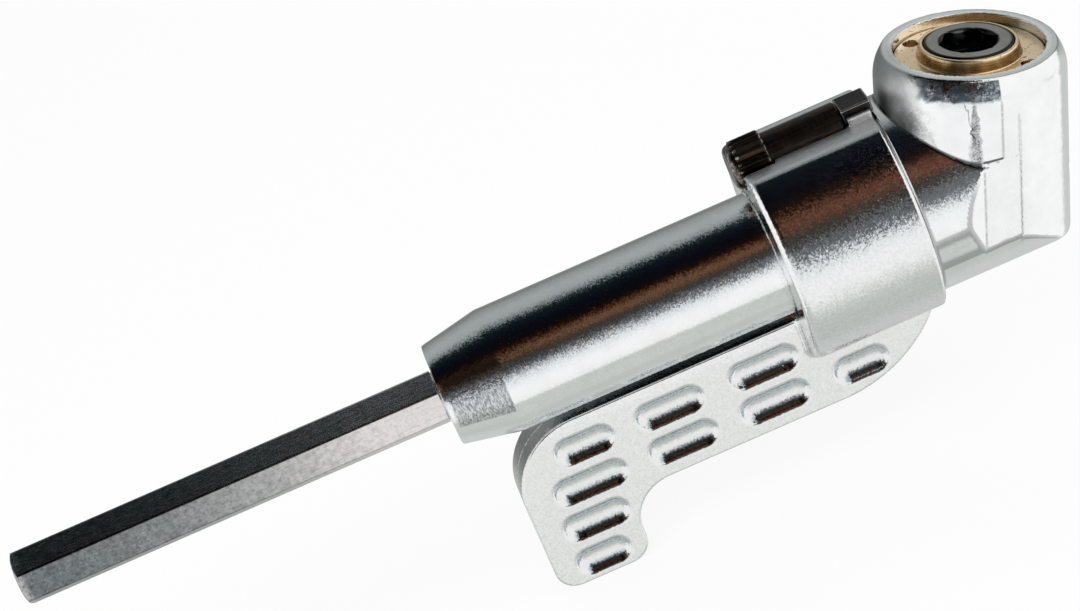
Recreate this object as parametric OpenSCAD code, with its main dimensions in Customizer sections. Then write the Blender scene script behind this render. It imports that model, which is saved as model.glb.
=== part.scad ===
// Right angle drill attachment with a quarter inch hexagonal shank, a cast body,
// a turning finger plate with its clamp screw, and a magnetic bit socket that a
// pair of bevel gears drives at 105 degrees to the shank.
// X runs along the shank and the body towards the head, and Z points to the side
// that the bit socket faces. The origin is the centre of the nose face, where the
// shank leaves the body. The two axes cross at the gear centre, on the X axis.

/* [Shank and drive shaft] */
// Width of the hexagonal shank across its flats
shank_af = 6.35; // [6:0.05:6.5]
// Length of shank that stands out of the nose
shank_len = 55.5; // [30:0.5:80]
// Chamfer on the free end of the shank
shank_chamfer = 0.7; // [0.3:0.1:1]
// Turn of the shank about its axis at rest, in degrees
shank_roll = 23.5; // [0:0.5:59.5]
// Diameter of the round journal inside the body
journal_d = 6.2; // [5.8:0.05:6.3]
// Width of the hexagonal gear seat across its flats
shaft_seat_af = 5; // [4.4:0.1:5]

/* [Cast body] */
// Diameter of the nose face
nose_d = 13; // [12.6:0.1:14]
// Length of the tapered nose
nose_len = 7.6; // [5:0.1:12]
// Outer diameter of the tube
tube_d = 15.86; // [15.5:0.02:16.5]
// Place of the shoulder where the thick neck starts
neck_x = 60.3; // [56:0.1:64]
// Diameter of the neck round the gears
neck_d = 25.2; // [24.8:0.1:26]
// Distance from the neck shoulder to the gear centre
head_reach = 9.8; // [9.7:0.1:10.4]
// Diameter of the head barrel round the output axis
head_d = 23.1; // [22.6:0.1:24]
// Height of the head rim above the gear centre, along the output axis
rim_h = 15.85; // [15.5:0.05:16.5]
// Diameter of the head rim at its sharp outer edge
rim_d = 20.85; // [20.4:0.05:21.4]
// Diameter of the threaded mouth of the head
mouth_d = 18.15; // [17.9:0.05:18.6]
// Distance between the flats on the two sides of the head
head_flats = 23; // [22.4:0.1:23.1]
// Radius of the round end of the neck under the head
neck_end_round = 5; // [3:0.1:6]
// Angle between the shank and the way the bit points
output_angle = 105; // [100:1:108]

/* [Shaft bearings] */
// Outer diameter of both sleeve bearings
bush_d = 10.4; // [9.8:0.1:10.8]
// Length of both sleeve bearings
bush_len = 12; // [8:0.5:14]
// Thickness of the snap ring in the nose
nose_ring_t = 1; // [0.8:0.1:1.2]
// Thickness of the washer behind the input gear
input_washer_t = 0.4; // [0.3:0.05:0.4]

/* [Bevel gears] */
// Number of teeth on each gear
gear_teeth = 16; // [14:2:18]
// Pitch diameter of each gear at its large end
gear_pitch_d = 15.2; // [14.8:0.1:15.2]
// Width of the teeth along the pitch cone
gear_face = 2.8; // [2.2:0.1:2.8]
// Pressure angle of the teeth
gear_pressure = 20; // [18:0.5:24]
// Distance from the gear centre to the back of each gear hub
gear_back = 7.6; // [7.5:0.05:7.6]

/* [Bit socket and bearing nut] */
// Width of the hexagonal recess across its flats
socket_af = 6.45; // [6.4:0.01:6.6]
// Outer diameter of the bit socket
socket_d = 10.8; // [10.4:0.1:11]
// Height of the socket mouth above the gear centre
socket_top = 16.35; // [16:0.05:17]
// Depth of the hexagonal recess
socket_depth = 7; // [6:0.1:7.2]
// Diameter of the magnet
magnet_d = 5.2; // [4:0.1:5.4]
// Thickness of the magnet
magnet_t = 2; // [1:0.1:2]
// Depth of the nut flange below the head rim
nut_recess = 1.2; // [0.8:0.1:1.6]
// Height of the raised hub of the nut above its flange
nut_hub_h = 1.6; // [1.2:0.1:1.6]
// Diameter of the foot of the raised hub
nut_hub_d = 12.6; // [12.4:0.1:13.2]
// Circle on which the two spanner holes lie
spanner_pcd = 15.6; // [15.2:0.1:15.8]
// Diameter of the spanner holes
spanner_d = 1.9; // [1.4:0.1:2]
// Diameter of the tail of the output spindle
tail_d = 3; // [2.6:0.1:3]

/* [Clamp collar and finger plate] */
// Height by which the clamp collar stands above the neck
collar_step = 1.6; // [1.3:0.05:2.2]
// Length of the clamp collar along the tube
collar_len = 17; // [16.5:0.1:18]
// Height of the flat on top of the collar above the neck
flat_rise = 0.3; // [0.2:0.05:0.5]
// Thickness of the finger plate
plate_t = 6; // [5:0.1:6.5]
// Gap between the tube and the top edge of the plate
plate_gap = 0.67; // [0.5:0.01:1]
// Width of the plate from its top edge to its long lower edge
plate_w = 13.3; // [12.5:0.1:14.5]
// Length of the finger hook below the plate
hook_len = 9.6; // [9.3:0.1:12]
// Width of the finger hook
hook_w = 12.4; // [12.4:0.1:14]
// Distance from the nose face to the free end of the plate
plate_start = 3.7; // [2.5:0.1:5]
// Radius of the top corner at the free end of the plate
plate_corner = 9.5; // [8:0.1:10.5]
// Radius of the inner corner between hook and plate
hook_inner = 5.5; // [4:0.1:7]
// Radius of the two lower corners of the hook
hook_corner = 2.8; // [1.5:0.1:3]
// Radius of the arc that carries the plate up into the collar
plate_arc = 17.5; // [15:0.1:20]
// Chamfer round both faces of the plate
plate_edge = 0.6; // [0.3:0.05:1]

/* [Grip recesses] */
// Width of each grip recess at the face of the plate
dimple_w = 3.9; // [3:0.1:4.2]
// Depth of each grip recess
dimple_depth = 1.3; // [0.5:0.05:1.6]
// Distance between the rows of recesses
dimple_pitch = 5.3; // [4.8:0.05:5.4]
// Distance from the top edge of the plate to the first row
dimple_first = 4.2; // [3.4:0.05:4.4]

/* [Clamp screw] */
// Depth of the clamp screw axis below the flat of the collar
screw_sink = 0.25; // [0.2:0.05:0.3]
// Diameter of the knurled head
knob_d = 6.26; // [5.8:0.02:6.4]
// Length of the knurled head
knob_len = 5.4; // [4.5:0.1:6]
// Number of grooves round the knurled head
knob_grooves = 20; // [16:1:36]
// Diameter of the threaded barrel
barrel_d = 5.1; // [4.6:0.1:5.2]
// Pitch of the clamp screw thread
screw_pitch = 0.7; // [0.5:0.05:1]
// Thickness of the jaw across the body
jaw_w = 3.8; // [3.4:0.1:4]
// Height of the jaw above the flat of the collar
jaw_rise = 1.9; // [1.5:0.05:2.1]

/* [Hidden] */
$fn = 96;

// Fits: a running fit turns, a seat is fixed, and an air gap never touches
run_fit = 0.04;
seat_fit = 0.02;
slide_fit = 0.08;
air_gap = 0.3;
// Overrun of a cutting tool past the face that it cuts
over = 0.5;
small_fn = 48;
// The most that any cutting tool has to reach across the part
reach = 4 * head_d;

// Axes
tilt = output_angle - 90;
head_x = neck_x + head_reach;

// Bearings and the bore that holds them
journal_r = journal_d / 2;
bush_r = bush_d / 2;
nose_ring_x = 0.5;
nose_ring_grip = 0.35;
nose_ring_w = 1.6;
nose_bush_x = nose_ring_x + nose_ring_t + seat_fit;
chamber_x = head_x - gear_back - input_washer_t;
inner_bush_x = chamber_x - bush_len;
hex_gap = 0.3;

// Pitch cone of the equal gears and its developed back cone
gear_cone = output_angle / 2;
gear_r = gear_pitch_d / 2;
gear_module = gear_pitch_d / gear_teeth;
cone_dist = gear_r / sin(gear_cone);
pitch_z = cone_dist * cos(gear_cone);
back_r = gear_r / cos(gear_cone);
base_r = back_r * cos(gear_pressure);
back_teeth = gear_teeth / cos(gear_cone);
addendum_share = 0.85;
dedendum_share = 1.15;
rim_share = 0.55;
gear_play = 0.12;
tip_r = back_r + addendum_share * gear_module;
root_r = back_r - dedendum_share * gear_module;
rim_in_r = root_r - rim_share * gear_module;
small_end_share = 1 - gear_face / cone_dist;
gear_tip_r = tip_r * cos(gear_cone);
gear_hub_r = 4.4;
gear_hub_in = 0.4;
gear_front = pitch_z * small_end_share + gear_hub_in;

// Cavity for the gears
gear_air = 0.45;
chamber_r = gear_tip_r + gear_air;
nut_gap = 0.5;
nut_seat_h = gear_back + nut_gap;
nut_ledge = 0.35;
head_bore_r = mouth_d / 2 - nut_ledge;
head_wall = 1.5;
tail_bush_d = 4.6;
tail_bush_len = 2.6;
thrust_pad_t = 0.7;
tail_floor = neck_d / 2 - head_wall;
head_floor = tail_floor - tail_bush_len - thrust_pad_t;

// Bearing nut and output spindle
nut_top_h = rim_h - nut_recess;
nut_draft = 0.4;
socket_r = socket_d / 2;
spanner_depth = 2;
spanner_turn = -45;
seat_af = 6.4;
tail_r = tail_d / 2;
tail_end = tail_floor - thrust_pad_t - run_fit;
clip_t = 0.5;
clip_d = 6;
clip_grip = 0.35;
clip_h = gear_front - clip_t - 2 * seat_fit;
output_washer_d = 15;
output_washer_t = nut_seat_h - gear_back - 2 * run_fit;
recess_floor = socket_top - socket_depth;
mouth_chamfer = 0.35;
socket_chamfer = 0.4;
ring_wire = 0.7;
bit_ring_drop = 2.6;
bit_ring_gap = 60;

// End screw that holds the input gear
end_screw_d = 2;
end_screw_len = 5;
end_head_d = 4.6;
end_head_t = 0.9;
end_slot_w = 0.6;
shaft_end = gear_front + seat_fit;

// Collar, its retaining ring and its friction washer
tube_r = tube_d / 2;
collar_r = neck_d / 2 + collar_step;
collar_flat = neck_d / 2 + flat_rise;
collar_gap = 0.15;
collar_right = neck_x - collar_gap;
collar_left = collar_right - collar_len;
collar_fit = 0.06;
collar_round = 0.9;
collar_ring_t = 1;
collar_ring_grip = 0.55;
collar_ring_w = 0.65;
collar_ring_set = 0.6;
friction_washer_t = 0.4;
collar_pocket = collar_ring_set + collar_ring_t + friction_washer_t + 3 * collar_fit;
collar_ring_x = collar_left + collar_ring_set;

// Head forms
neck_r = neck_d / 2;
neck_round = 0.4;
nose_edge = 0.4;
head_r = head_d / 2;
rim_drop = 3.5;
rim_step = head_r - rim_d / 2;
rim_arc = (pow(rim_step, 2) + pow(rim_drop, 2)) / (2 * rim_step);
flat_start_share = -0.28;
flat_fade_share = -0.46;
flat_end_share = 0.09;
neck_end_set = 0.95;
neck_end_x = head_x + head_r * cos(tilt) - neck_end_set;

// Finger plate places, from its free end along X and down from the shank axis
plate_top = tube_r + plate_gap;
plate_low = plate_top + plate_w;
hook_low = plate_low + hook_len;
hook_right = plate_start + hook_w;
arc_back = 15.1;
arc_x = neck_x - arc_back;
arc_z = plate_low - plate_arc;

// Each grip recess: column and row, where the middle lies as a share of the plate's
// length, and the length as a share of the recess width
plate_len = collar_right - plate_start;
dimple_mid_shares = [[0.172, 0.373, 0.594], [0.153, 0.373, 0.591, 0.796], [0.132], [0.116]];
dimple_len_shares = [[2.0, 2.3, 2.35], [2.5, 2.35, 2.35, 1.85], [2.25], [1.85]];
dimple_r = (pow(dimple_w / 2, 2) + pow(dimple_depth, 2)) / (2 * dimple_depth);
dimple_end_share = 1.03;

// Clamp screw and jaw
screw_z = collar_flat - screw_sink;
jaw_top = collar_flat + jaw_rise;
knob_r = knob_d / 2;
knob_round = 0.9;
groove_depth = 0.28;
barrel_r = barrel_d / 2;
knob_out = 1.55;
knob_x = collar_left - knob_out;
barrel_x = knob_x + knob_len;
jaw_back = 3.55;
jaw_x = neck_x - jaw_back;
barrel_end = jaw_x - collar_gap;
screw_tip_d = 2.4;
screw_tip_len = 2.2;
jaw_turn_share = 0.75;
jaw_travel = screw_pitch * jaw_turn_share;
jaw_foot_end = neck_x - jaw_travel - slide_fit;
jaw_over = 0.3;
jaw_foot_drop = 1.15;
jaw_foot_z = screw_z - jaw_foot_drop;
ear_w = 0.8;
ear_h = 1;
ear_set = 0.35;
ear_x = jaw_x + ear_set;

// Places children with their Z axis along the shank axis, starting at x
module along_shank(x) {
    translate([x, 0, 0]) rotate([0, 90, 0]) children();
}

// Places children in the frame of the output axis, with the gear centre as origin
module on_output() {
    translate([head_x, 0, 0]) rotate([0, tilt, 0]) children();
}

// Flat ring from z = 0 up to t
module ring(outer_r, inner_r, t) {
    difference() {
        cylinder(r = outer_r, h = t);
        translate([0, 0, -over]) cylinder(r = inner_r, h = t + 2 * over);
    }
}

// Hexagonal prism, with af across its flats
module hex_bar(af, len) {
    cylinder(r = af / 2 / cos(30), h = len, $fn = 6);
}

// Half section of a round bar with rounded outer corners, to be revolved
module bar_section(r, len, low_round, high_round) {
    difference() {
        square([r, len]);
        translate([r - high_round, len - high_round]) corner_waste(high_round);
        translate([r - low_round, low_round]) mirror([0, 1]) corner_waste(low_round);
    }
}

module corner_waste(r) {
    difference() {
        square(r + over);
        circle(r = r, $fn = small_fn);
    }
}

// Cast body

module nose_and_tube() {
    along_shank(0) rotate_extrude() polygon([
        [0, 0],
        [nose_d / 2 - nose_edge, 0],
        [nose_d / 2, nose_edge],
        [tube_r, nose_len],
        [tube_r, neck_x + over],
        [0, neck_x + over]
    ]);
}

// Outline of the lower head seen along the output axis: the barrel's circle, and
// the neck with two flats that fade out towards the shank
module head_outline() {
    flat_y = head_flats / 2;
    circle(r = head_r);
    polygon([
        [-reach / 2, -neck_d],
        [head_r * flat_fade_share - head_r, -neck_d],
        [head_r * flat_fade_share, -neck_r],
        [head_r * flat_start_share, -flat_y],
        [head_r * flat_end_share, -flat_y],
        [head_r * flat_end_share, flat_y],
        [head_r * flat_start_share, flat_y],
        [head_r * flat_fade_share, neck_r],
        [head_r * flat_fade_share - head_r, neck_d],
        [-reach / 2, neck_d]
    ]);
}

module neck() {
    intersection() {
        along_shank(neck_x) rotate_extrude()
            bar_section(neck_r, neck_end_x - neck_x, neck_round, neck_end_round);
        on_output() linear_extrude(height = reach, center = true) head_outline();
    }
}

// Barrel of the head, whose side draws in to the rim on a wide arc
module head_barrel() {
    intersection() {
        on_output() rotate_extrude() {
            square([head_r, rim_h - rim_drop]);
            intersection() {
                translate([head_r - rim_arc, rim_h - rim_drop]) circle(r = rim_arc);
                square([head_r, rim_h]);
            }
            square([head_r - rim_arc, rim_h]);
        }
        translate([neck_x, -reach / 2, -reach / 2]) cube(reach);
    }
}

module gear_cavity() {
    along_shank(-over) cylinder(r = bush_r, h = chamber_x + 2 * over);
    along_shank(chamber_x) cylinder(r = chamber_r, h = head_x - chamber_x);
    on_output() {
        translate([0, 0, -head_floor]) cylinder(r = head_bore_r, h = rim_h + head_floor);
        translate([0, 0, nut_seat_h]) cylinder(r = mouth_d / 2, h = rim_h);
        translate([0, 0, -tail_floor]) cylinder(d = tail_bush_d, h = tail_floor, $fn = small_fn);
    }
}

module housing() {
    color([0.80, 0.81, 0.81]) difference() {
        union() {
            nose_and_tube();
            neck();
            head_barrel();
        }
        gear_cavity();
        along_shank(nose_ring_x) cylinder(r = bush_r + nose_ring_grip, h = nose_ring_t + seat_fit);
        along_shank(collar_ring_x)
            ring(tube_r + over, tube_r - collar_ring_grip, collar_ring_t + seat_fit);
    }
}

// Bearings and rings in the body

module sleeve(x) {
    along_shank(x) ring(bush_r - seat_fit, journal_r + run_fit, bush_len);
}

module nose_bush() {
    color([0.62, 0.47, 0.28]) sleeve(nose_bush_x);
}

module inner_bush() {
    color([0.62, 0.47, 0.28]) sleeve(inner_bush_x);
}

// Snap ring with a gap, seated in a groove
module snap_ring(outer_r, inner_r, t, gap) {
    difference() {
        ring(outer_r, inner_r, t);
        translate([0, -gap / 2, -over]) cube([outer_r + over, gap, t + 2 * over]);
    }
}

module nose_ring() {
    outer = bush_r + nose_ring_grip - seat_fit;
    color([0.25, 0.25, 0.26]) along_shank(nose_ring_x + seat_fit / 2)
        snap_ring(outer, outer - nose_ring_w, nose_ring_t, nose_ring_w);
}

module collar_ring() {
    inner = tube_r - collar_ring_grip + seat_fit;
    color([0.25, 0.25, 0.26]) along_shank(collar_ring_x + seat_fit / 2)
        snap_ring(tube_r + collar_ring_w, inner, collar_ring_t, nose_ring_w);
}

module bearing_nut() {
    hub_r = nut_hub_d / 2;
    color([0.76, 0.60, 0.36]) on_output() difference() {
        union() {
            translate([0, 0, nut_seat_h]) cylinder(r = mouth_d / 2 - seat_fit, h = nut_top_h - nut_seat_h);
            translate([0, 0, nut_top_h - over]) cylinder(r = hub_r, h = over);
            translate([0, 0, nut_top_h]) cylinder(r1 = hub_r, r2 = hub_r - nut_draft, h = nut_hub_h);
        }
        translate([0, 0, nut_seat_h - over]) cylinder(r = socket_r + slide_fit, h = rim_h);
        for (turn = [0, 180]) rotate([0, 0, spanner_turn + turn])
            translate([spanner_pcd / 2, 0, nut_top_h - spanner_depth])
                cylinder(d = spanner_d, h = spanner_depth + over, $fn = small_fn);
    }
}

module tail_bush() {
    color([0.62, 0.47, 0.28]) on_output() translate([0, 0, -tail_floor + thrust_pad_t])
        ring(tail_bush_d / 2 - seat_fit, tail_r + run_fit, tail_bush_len, $fn = small_fn);
}

module thrust_pad() {
    color([0.55, 0.56, 0.58]) on_output() translate([0, 0, -tail_floor])
        cylinder(r = tail_bush_d / 2 - seat_fit, h = thrust_pad_t, $fn = small_fn);
}

// Bevel gears: every flank is a straight line to the gear centre, and each tooth
// is an involute drawn on the developed back cone

function involute(a) = tan(a) * 180 / PI - a;

// Half the angle that a tooth takes up at radius r on the developed back cone
function tooth_half(r) =
    (90 / back_teeth + involute(gear_pressure) - involute(acos(min(1, base_r / max(r, base_r))))
     - gear_play / back_r * 90 / PI) / cos(gear_cone);

// Point at radius r of the back cone and angle a, drawn towards the centre by share
function cone_point(r, a, share) =
    let (across = r * cos(gear_cone), up = pitch_z - (r - back_r) * sin(gear_cone))
    [across * cos(a) * share, across * sin(a) * share, up * share];

function tooth_radii() = [root_r, base_r, back_r, (back_r + tip_r) / 2, tip_r];

// Radius and angle of each point round one tooth, up one flank and down the other
function tooth_points() =
    let (rs = tooth_radii(), last = len(rs) - 1)
    concat([for (i = [0:last]) [rs[i], -tooth_half(rs[i])]],
           [for (i = [last:-1:0]) [rs[i], tooth_half(rs[i])]]);

module toothed_ring() {
    teeth = [for (t = [0:gear_teeth - 1]) for (p = tooth_points()) [p[0], p[1] + t * 360 / gear_teeth]];
    rim_up = cone_point(rim_in_r, 0, 1)[2];
    columns = [for (p = teeth) [
        cone_point(p[0], p[1], 1),
        cone_point(p[0], p[1], small_end_share),
        cone_point(rim_in_r, p[1], small_end_share),
        [(gear_hub_r - gear_hub_in) * cos(p[1]), (gear_hub_r - gear_hub_in) * sin(p[1]), rim_up * small_end_share],
        [(gear_hub_r - gear_hub_in) * cos(p[1]), (gear_hub_r - gear_hub_in) * sin(p[1]), rim_up],
        cone_point(rim_in_r, p[1], 1)
    ]];
    n = len(columns);
    k = len(columns[0]);
    faces = [for (i = [0:n - 1]) for (j = [0:k - 1])
        let (a = i * k + j, b = i * k + (j + 1) % k, c = ((i + 1) % n) * k + (j + 1) % k, d = ((i + 1) % n) * k + j)
        each [[a, c, b], [a, d, c]]];
    polyhedron(points = [for (c = columns) each c], faces = faces);
}

module bevel_gear(seat_width) {
    difference() {
        union() {
            toothed_ring();
            translate([0, 0, gear_front]) cylinder(r = gear_hub_r, h = gear_back - gear_front);
        }
        translate([0, 0, gear_front - over]) hex_bar(seat_width + 2 * seat_fit, gear_back);
    }
}

// The input gear faces the gear centre from the shank side, with one tooth upwards
module input_gear() {
    color([0.45, 0.45, 0.47]) translate([head_x, 0, 0]) rotate([0, -90, 0]) bevel_gear(shaft_seat_af);
}

// The output gear has a gap where the input gear has a tooth
module output_gear() {
    color([0.45, 0.45, 0.47]) on_output() rotate([0, 0, 180 + 180 / gear_teeth]) bevel_gear(seat_af);
}

// Input spindle

module drive_shaft() {
    gear_seat_x = head_x - gear_back;
    corner_r = shank_af / 2 / cos(30);
    color([0.42, 0.42, 0.43]) difference() {
        union() {
            intersection() {
                along_shank(-shank_len) rotate([0, 0, shank_roll]) hex_bar(shank_af, shank_len - hex_gap);
                along_shank(-shank_len) rotate_extrude() polygon([
                    [0, 0],
                    [corner_r - shank_chamfer, 0],
                    [corner_r, shank_chamfer / 2],
                    [corner_r, shank_len],
                    [0, shank_len]
                ]);
            }
            along_shank(-shank_chamfer) cylinder(r = journal_r, h = gear_seat_x + shank_chamfer);
            along_shank(gear_seat_x) hex_bar(shaft_seat_af, head_x - gear_seat_x - shaft_end);
        }
        along_shank(head_x - shaft_end - end_screw_len)
            cylinder(d = end_screw_d + seat_fit, h = end_screw_len + over, $fn = small_fn);
    }
}

module input_washer() {
    color([0.55, 0.56, 0.58]) along_shank(chamber_x + run_fit)
        ring(bush_r + nose_ring_w, journal_r + run_fit, input_washer_t - 2 * run_fit);
}

module gear_screw() {
    color([0.30, 0.30, 0.31]) along_shank(head_x - shaft_end) difference() {
        union() {
            cylinder(d = end_head_d, h = end_head_t, $fn = small_fn);
            translate([0, 0, -end_screw_len + over]) cylinder(d = end_screw_d, h = end_screw_len, $fn = small_fn);
        }
        translate([-end_head_d, -end_slot_w / 2, end_head_t / 2]) cube([2 * end_head_d, end_slot_w, end_head_t]);
    }
}

// Output spindle

module bit_socket() {
    color([0.10, 0.10, 0.11]) on_output() difference() {
        union() {
            translate([0, 0, gear_back]) rotate_extrude()
                bar_section(socket_r, socket_top - gear_back, seat_fit, socket_chamfer);
            translate([0, 0, gear_front]) rotate([0, 0, 180 + 180 / gear_teeth])
                hex_bar(seat_af, gear_back - gear_front + over);
            translate([0, 0, -tail_end]) cylinder(r = tail_r, h = tail_end + gear_front + over, $fn = small_fn);
        }
        translate([0, 0, recess_floor]) hex_bar(socket_af, socket_depth + over);
        translate([0, 0, socket_top - mouth_chamfer])
            cylinder(r1 = socket_af / 2, r2 = socket_af / 2 + 2 * mouth_chamfer, h = 2 * mouth_chamfer);
        translate([0, 0, recess_floor - magnet_t]) cylinder(d = magnet_d + 2 * seat_fit, h = magnet_t + over);
        translate([0, 0, socket_top - bit_ring_drop])
            cylinder(r = socket_af / 2 / cos(30) + ring_wire / 2, h = ring_wire + 2 * seat_fit);
        translate([0, 0, clip_h - seat_fit]) ring(tail_r + over, tail_r - clip_grip, clip_t + 2 * seat_fit, $fn = small_fn);
    }
}

module gear_clip() {
    inner = tail_r - clip_grip + seat_fit;
    color([0.25, 0.25, 0.26]) on_output() translate([0, 0, clip_h])
        snap_ring(clip_d / 2, inner, clip_t, 2 * inner - 2 * seat_fit);
}

module output_washer() {
    color([0.55, 0.56, 0.58]) on_output() translate([0, 0, gear_back + run_fit])
        ring(output_washer_d / 2, socket_r + slide_fit, output_washer_t);
}

module bit_magnet() {
    color([0.60, 0.61, 0.62]) on_output() translate([0, 0, recess_floor - magnet_t])
        cylinder(d = magnet_d, h = magnet_t);
}

// Split spring ring that grips the bit in the hexagonal recess
module bit_ring() {
    outer = socket_af / 2 / cos(30) + ring_wire / 2 - seat_fit;
    color([0.50, 0.51, 0.53]) on_output() translate([0, 0, socket_top - bit_ring_drop + seat_fit]) difference() {
        ring(outer, outer - ring_wire, ring_wire);
        rotate([0, 0, -bit_ring_gap / 2]) translate([0, 0, -over])
            rotate_extrude(angle = bit_ring_gap) square([outer + over, ring_wire + 2 * over]);
    }
}

// Clamp collar with its finger plate

// Outline of the plate, seen from the side with X to the right and Z up, drawn in
// by inset all round
module bar_outline(inset) {
    low = -plate_low + inset;
    top = -plate_top - inset;
    left = plate_start + inset;
    corner = plate_corner - inset;
    difference() {
        union() {
            translate([left, low]) square([arc_x - left, top - low]);
            intersection() {
                translate([arc_x, -arc_z]) circle(r = plate_arc - inset);
                translate([arc_x - over, low]) square([collar_right - arc_x + over, top - low]);
            }
        }
        translate([left + corner, top - corner]) mirror([1, 0]) corner_waste(corner);
    }
}

module hook_outline(inset) {
    left = plate_start + inset;
    right = hook_right - inset;
    low = -hook_low + inset;
    top = -plate_top - plate_corner;
    corner = hook_corner - inset / 2;
    difference() {
        translate([left, low]) square([right - left, top - low]);
        translate([right - corner, low + corner]) mirror([0, 1]) corner_waste(corner);
        translate([left + corner, low + corner]) rotate(180) corner_waste(corner);
    }
}

// Web that rounds the inner corner between hook and plate
module inner_corner_outline(inset) {
    x = hook_right - inset;
    z = -plate_low + inset;
    r = hook_inner + inset;
    difference() {
        translate([x - over, z - hook_inner]) square([hook_inner + over, hook_inner + over]);
        translate([x + r, z - r]) circle(r = r);
    }
}

module plate_outline(inset) {
    bar_outline(inset);
    hook_outline(inset);
    inner_corner_outline(inset);
}

// Slab of the plate, of thickness t about the middle plane
module plate_slab(inset, t) {
    rotate([90, 0, 0]) linear_extrude(height = t, center = true) plate_outline(inset);
}

// Recess like a trough with ball ends, sunk from z = 0 downwards. The balls are a
// little larger than the trough, so that a fine crease shows where they meet
module dimple(len) {
    half = (len - dimple_w) / 2;
    translate([0, 0, dimple_r - dimple_depth]) {
        rotate([0, 90, 0]) cylinder(r = dimple_r, h = 2 * half, center = true, $fn = small_fn);
        for (side = [-1, 1]) translate([side * half, 0, 0])
            sphere(r = dimple_r * dimple_end_share, $fn = small_fn);
    }
}

module dimples() {
    for (row = [0:len(dimple_mid_shares) - 1]) for (i = [0:len(dimple_mid_shares[row]) - 1]) {
        x = plate_start + plate_len * dimple_mid_shares[row][i];
        z = -plate_top - dimple_first - row * dimple_pitch;
        for (side = [-90, 90]) translate([x, 0, z]) rotate([side, 0, 0])
            translate([0, 0, plate_t / 2]) dimple(dimple_w * dimple_len_shares[row][i]);
    }
}

module finger_plate() {
    difference() {
        union() {
            plate_slab(0, plate_t - 2 * plate_edge);
            plate_slab(plate_edge / 2, plate_t - plate_edge);
            plate_slab(plate_edge, plate_t);
        }
        dimples();
    }
}

module collar_blank() {
    along_shank(collar_left) rotate_extrude() bar_section(collar_r, collar_len, collar_round, collar_round / 2);
}

// Flat on top, with the bed of the clamp screw, the room for its head and the slot
// in which the jaw slides
module clamp_bed() {
    translate([collar_left - over, -collar_r, collar_flat]) cube([collar_len + 2 * over, 2 * collar_r, collar_r]);
    translate([0, 0, screw_z]) {
        along_shank(collar_left - over) cylinder(r = knob_r + air_gap, h = barrel_x + air_gap - collar_left + over);
        along_shank(barrel_x) cylinder(r = barrel_r + slide_fit, h = jaw_x - barrel_x);
    }
    translate([jaw_x - air_gap, -jaw_w / 2 - slide_fit, jaw_foot_z - air_gap])
        cube([jaw_back + air_gap + over, jaw_w + 2 * slide_fit, collar_r]);
}

module ears() {
    for (side = [0, 1]) mirror([0, side, 0])
        translate([ear_x, jaw_w / 2 + slide_fit, collar_flat - over]) cube([collar_right - ear_x, ear_w, ear_h + over]);
}

module finger_handle() {
    color([0.82, 0.83, 0.83]) difference() {
        union() {
            difference() {
                union() {
                    collar_blank();
                    finger_plate();
                }
                clamp_bed();
            }
            ears();
        }
        along_shank(collar_left - collar_len) cylinder(r = tube_r + collar_fit, h = 2 * collar_len + over);
        along_shank(collar_left - over) cylinder(r = tube_r + collar_ring_w + slide_fit, h = collar_pocket + over);
    }
}

module friction_washer() {
    color([0.55, 0.56, 0.58]) along_shank(collar_ring_x + collar_ring_t + collar_fit)
        ring(tube_r + collar_ring_w, tube_r + collar_fit, friction_washer_t);
}

// Clamp screw and jaw

module knurled_section() {
    polygon([for (i = [0:2 * knob_grooves - 1])
        let (r = knob_r - (i % 2) * groove_depth, a = i * 180 / knob_grooves) [r * cos(a), r * sin(a)]]);
}

module lock_screw() {
    color([0.07, 0.07, 0.07]) translate([0, 0, screw_z]) {
        along_shank(knob_x) rotate_extrude() bar_section(knob_r - groove_depth, knob_len, knob_round, groove_depth);
        along_shank(knob_x + knob_round) linear_extrude(height = knob_len - knob_round) knurled_section();
        along_shank(barrel_x - over) cylinder(r = barrel_r, h = barrel_end - barrel_x + over);
        along_shank(barrel_end - over) cylinder(d = screw_tip_d, h = screw_tip_len + over, $fn = small_fn);
    }
}

module lock_jaw() {
    color([0.07, 0.07, 0.07]) difference() {
        union() {
            translate([jaw_x, -jaw_w / 2, jaw_foot_z])
                cube([jaw_foot_end - jaw_x, jaw_w, jaw_top - jaw_foot_z]);
            translate([jaw_x, -jaw_w / 2, collar_flat + slide_fit])
                cube([neck_x + jaw_over - jaw_x, jaw_w, jaw_top - collar_flat - slide_fit]);
        }
        translate([0, 0, screw_z]) along_shank(jaw_x - over)
            cylinder(d = screw_tip_d + 2 * run_fit, h = screw_tip_len + 2 * over, $fn = small_fn);
    }
}

housing();
nose_bush();
inner_bush();
nose_ring();
bearing_nut();
tail_bush();
thrust_pad();
collar_ring();
drive_shaft();
input_gear();
input_washer();
gear_screw();
bit_socket();
output_gear();
gear_clip();
output_washer();
bit_magnet();
bit_ring();
finger_handle();
friction_washer();
lock_screw();
lock_jaw();
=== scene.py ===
"""The looks of a right angle drill attachment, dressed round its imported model.

Shapes are worked out in millimetres, in the frame of the model: X runs along the
shank towards the head, Z points to the side that the bit socket faces, and the
origin is the centre of the nose face. A mesh becomes metres where it is made.
"""
import logging
import math
from collections.abc import Callable, Sequence
from dataclasses import dataclass, field, replace
from enum import Enum
from functools import reduce

import bpy
import numpy as np
from mathutils import Matrix, Vector


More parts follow.
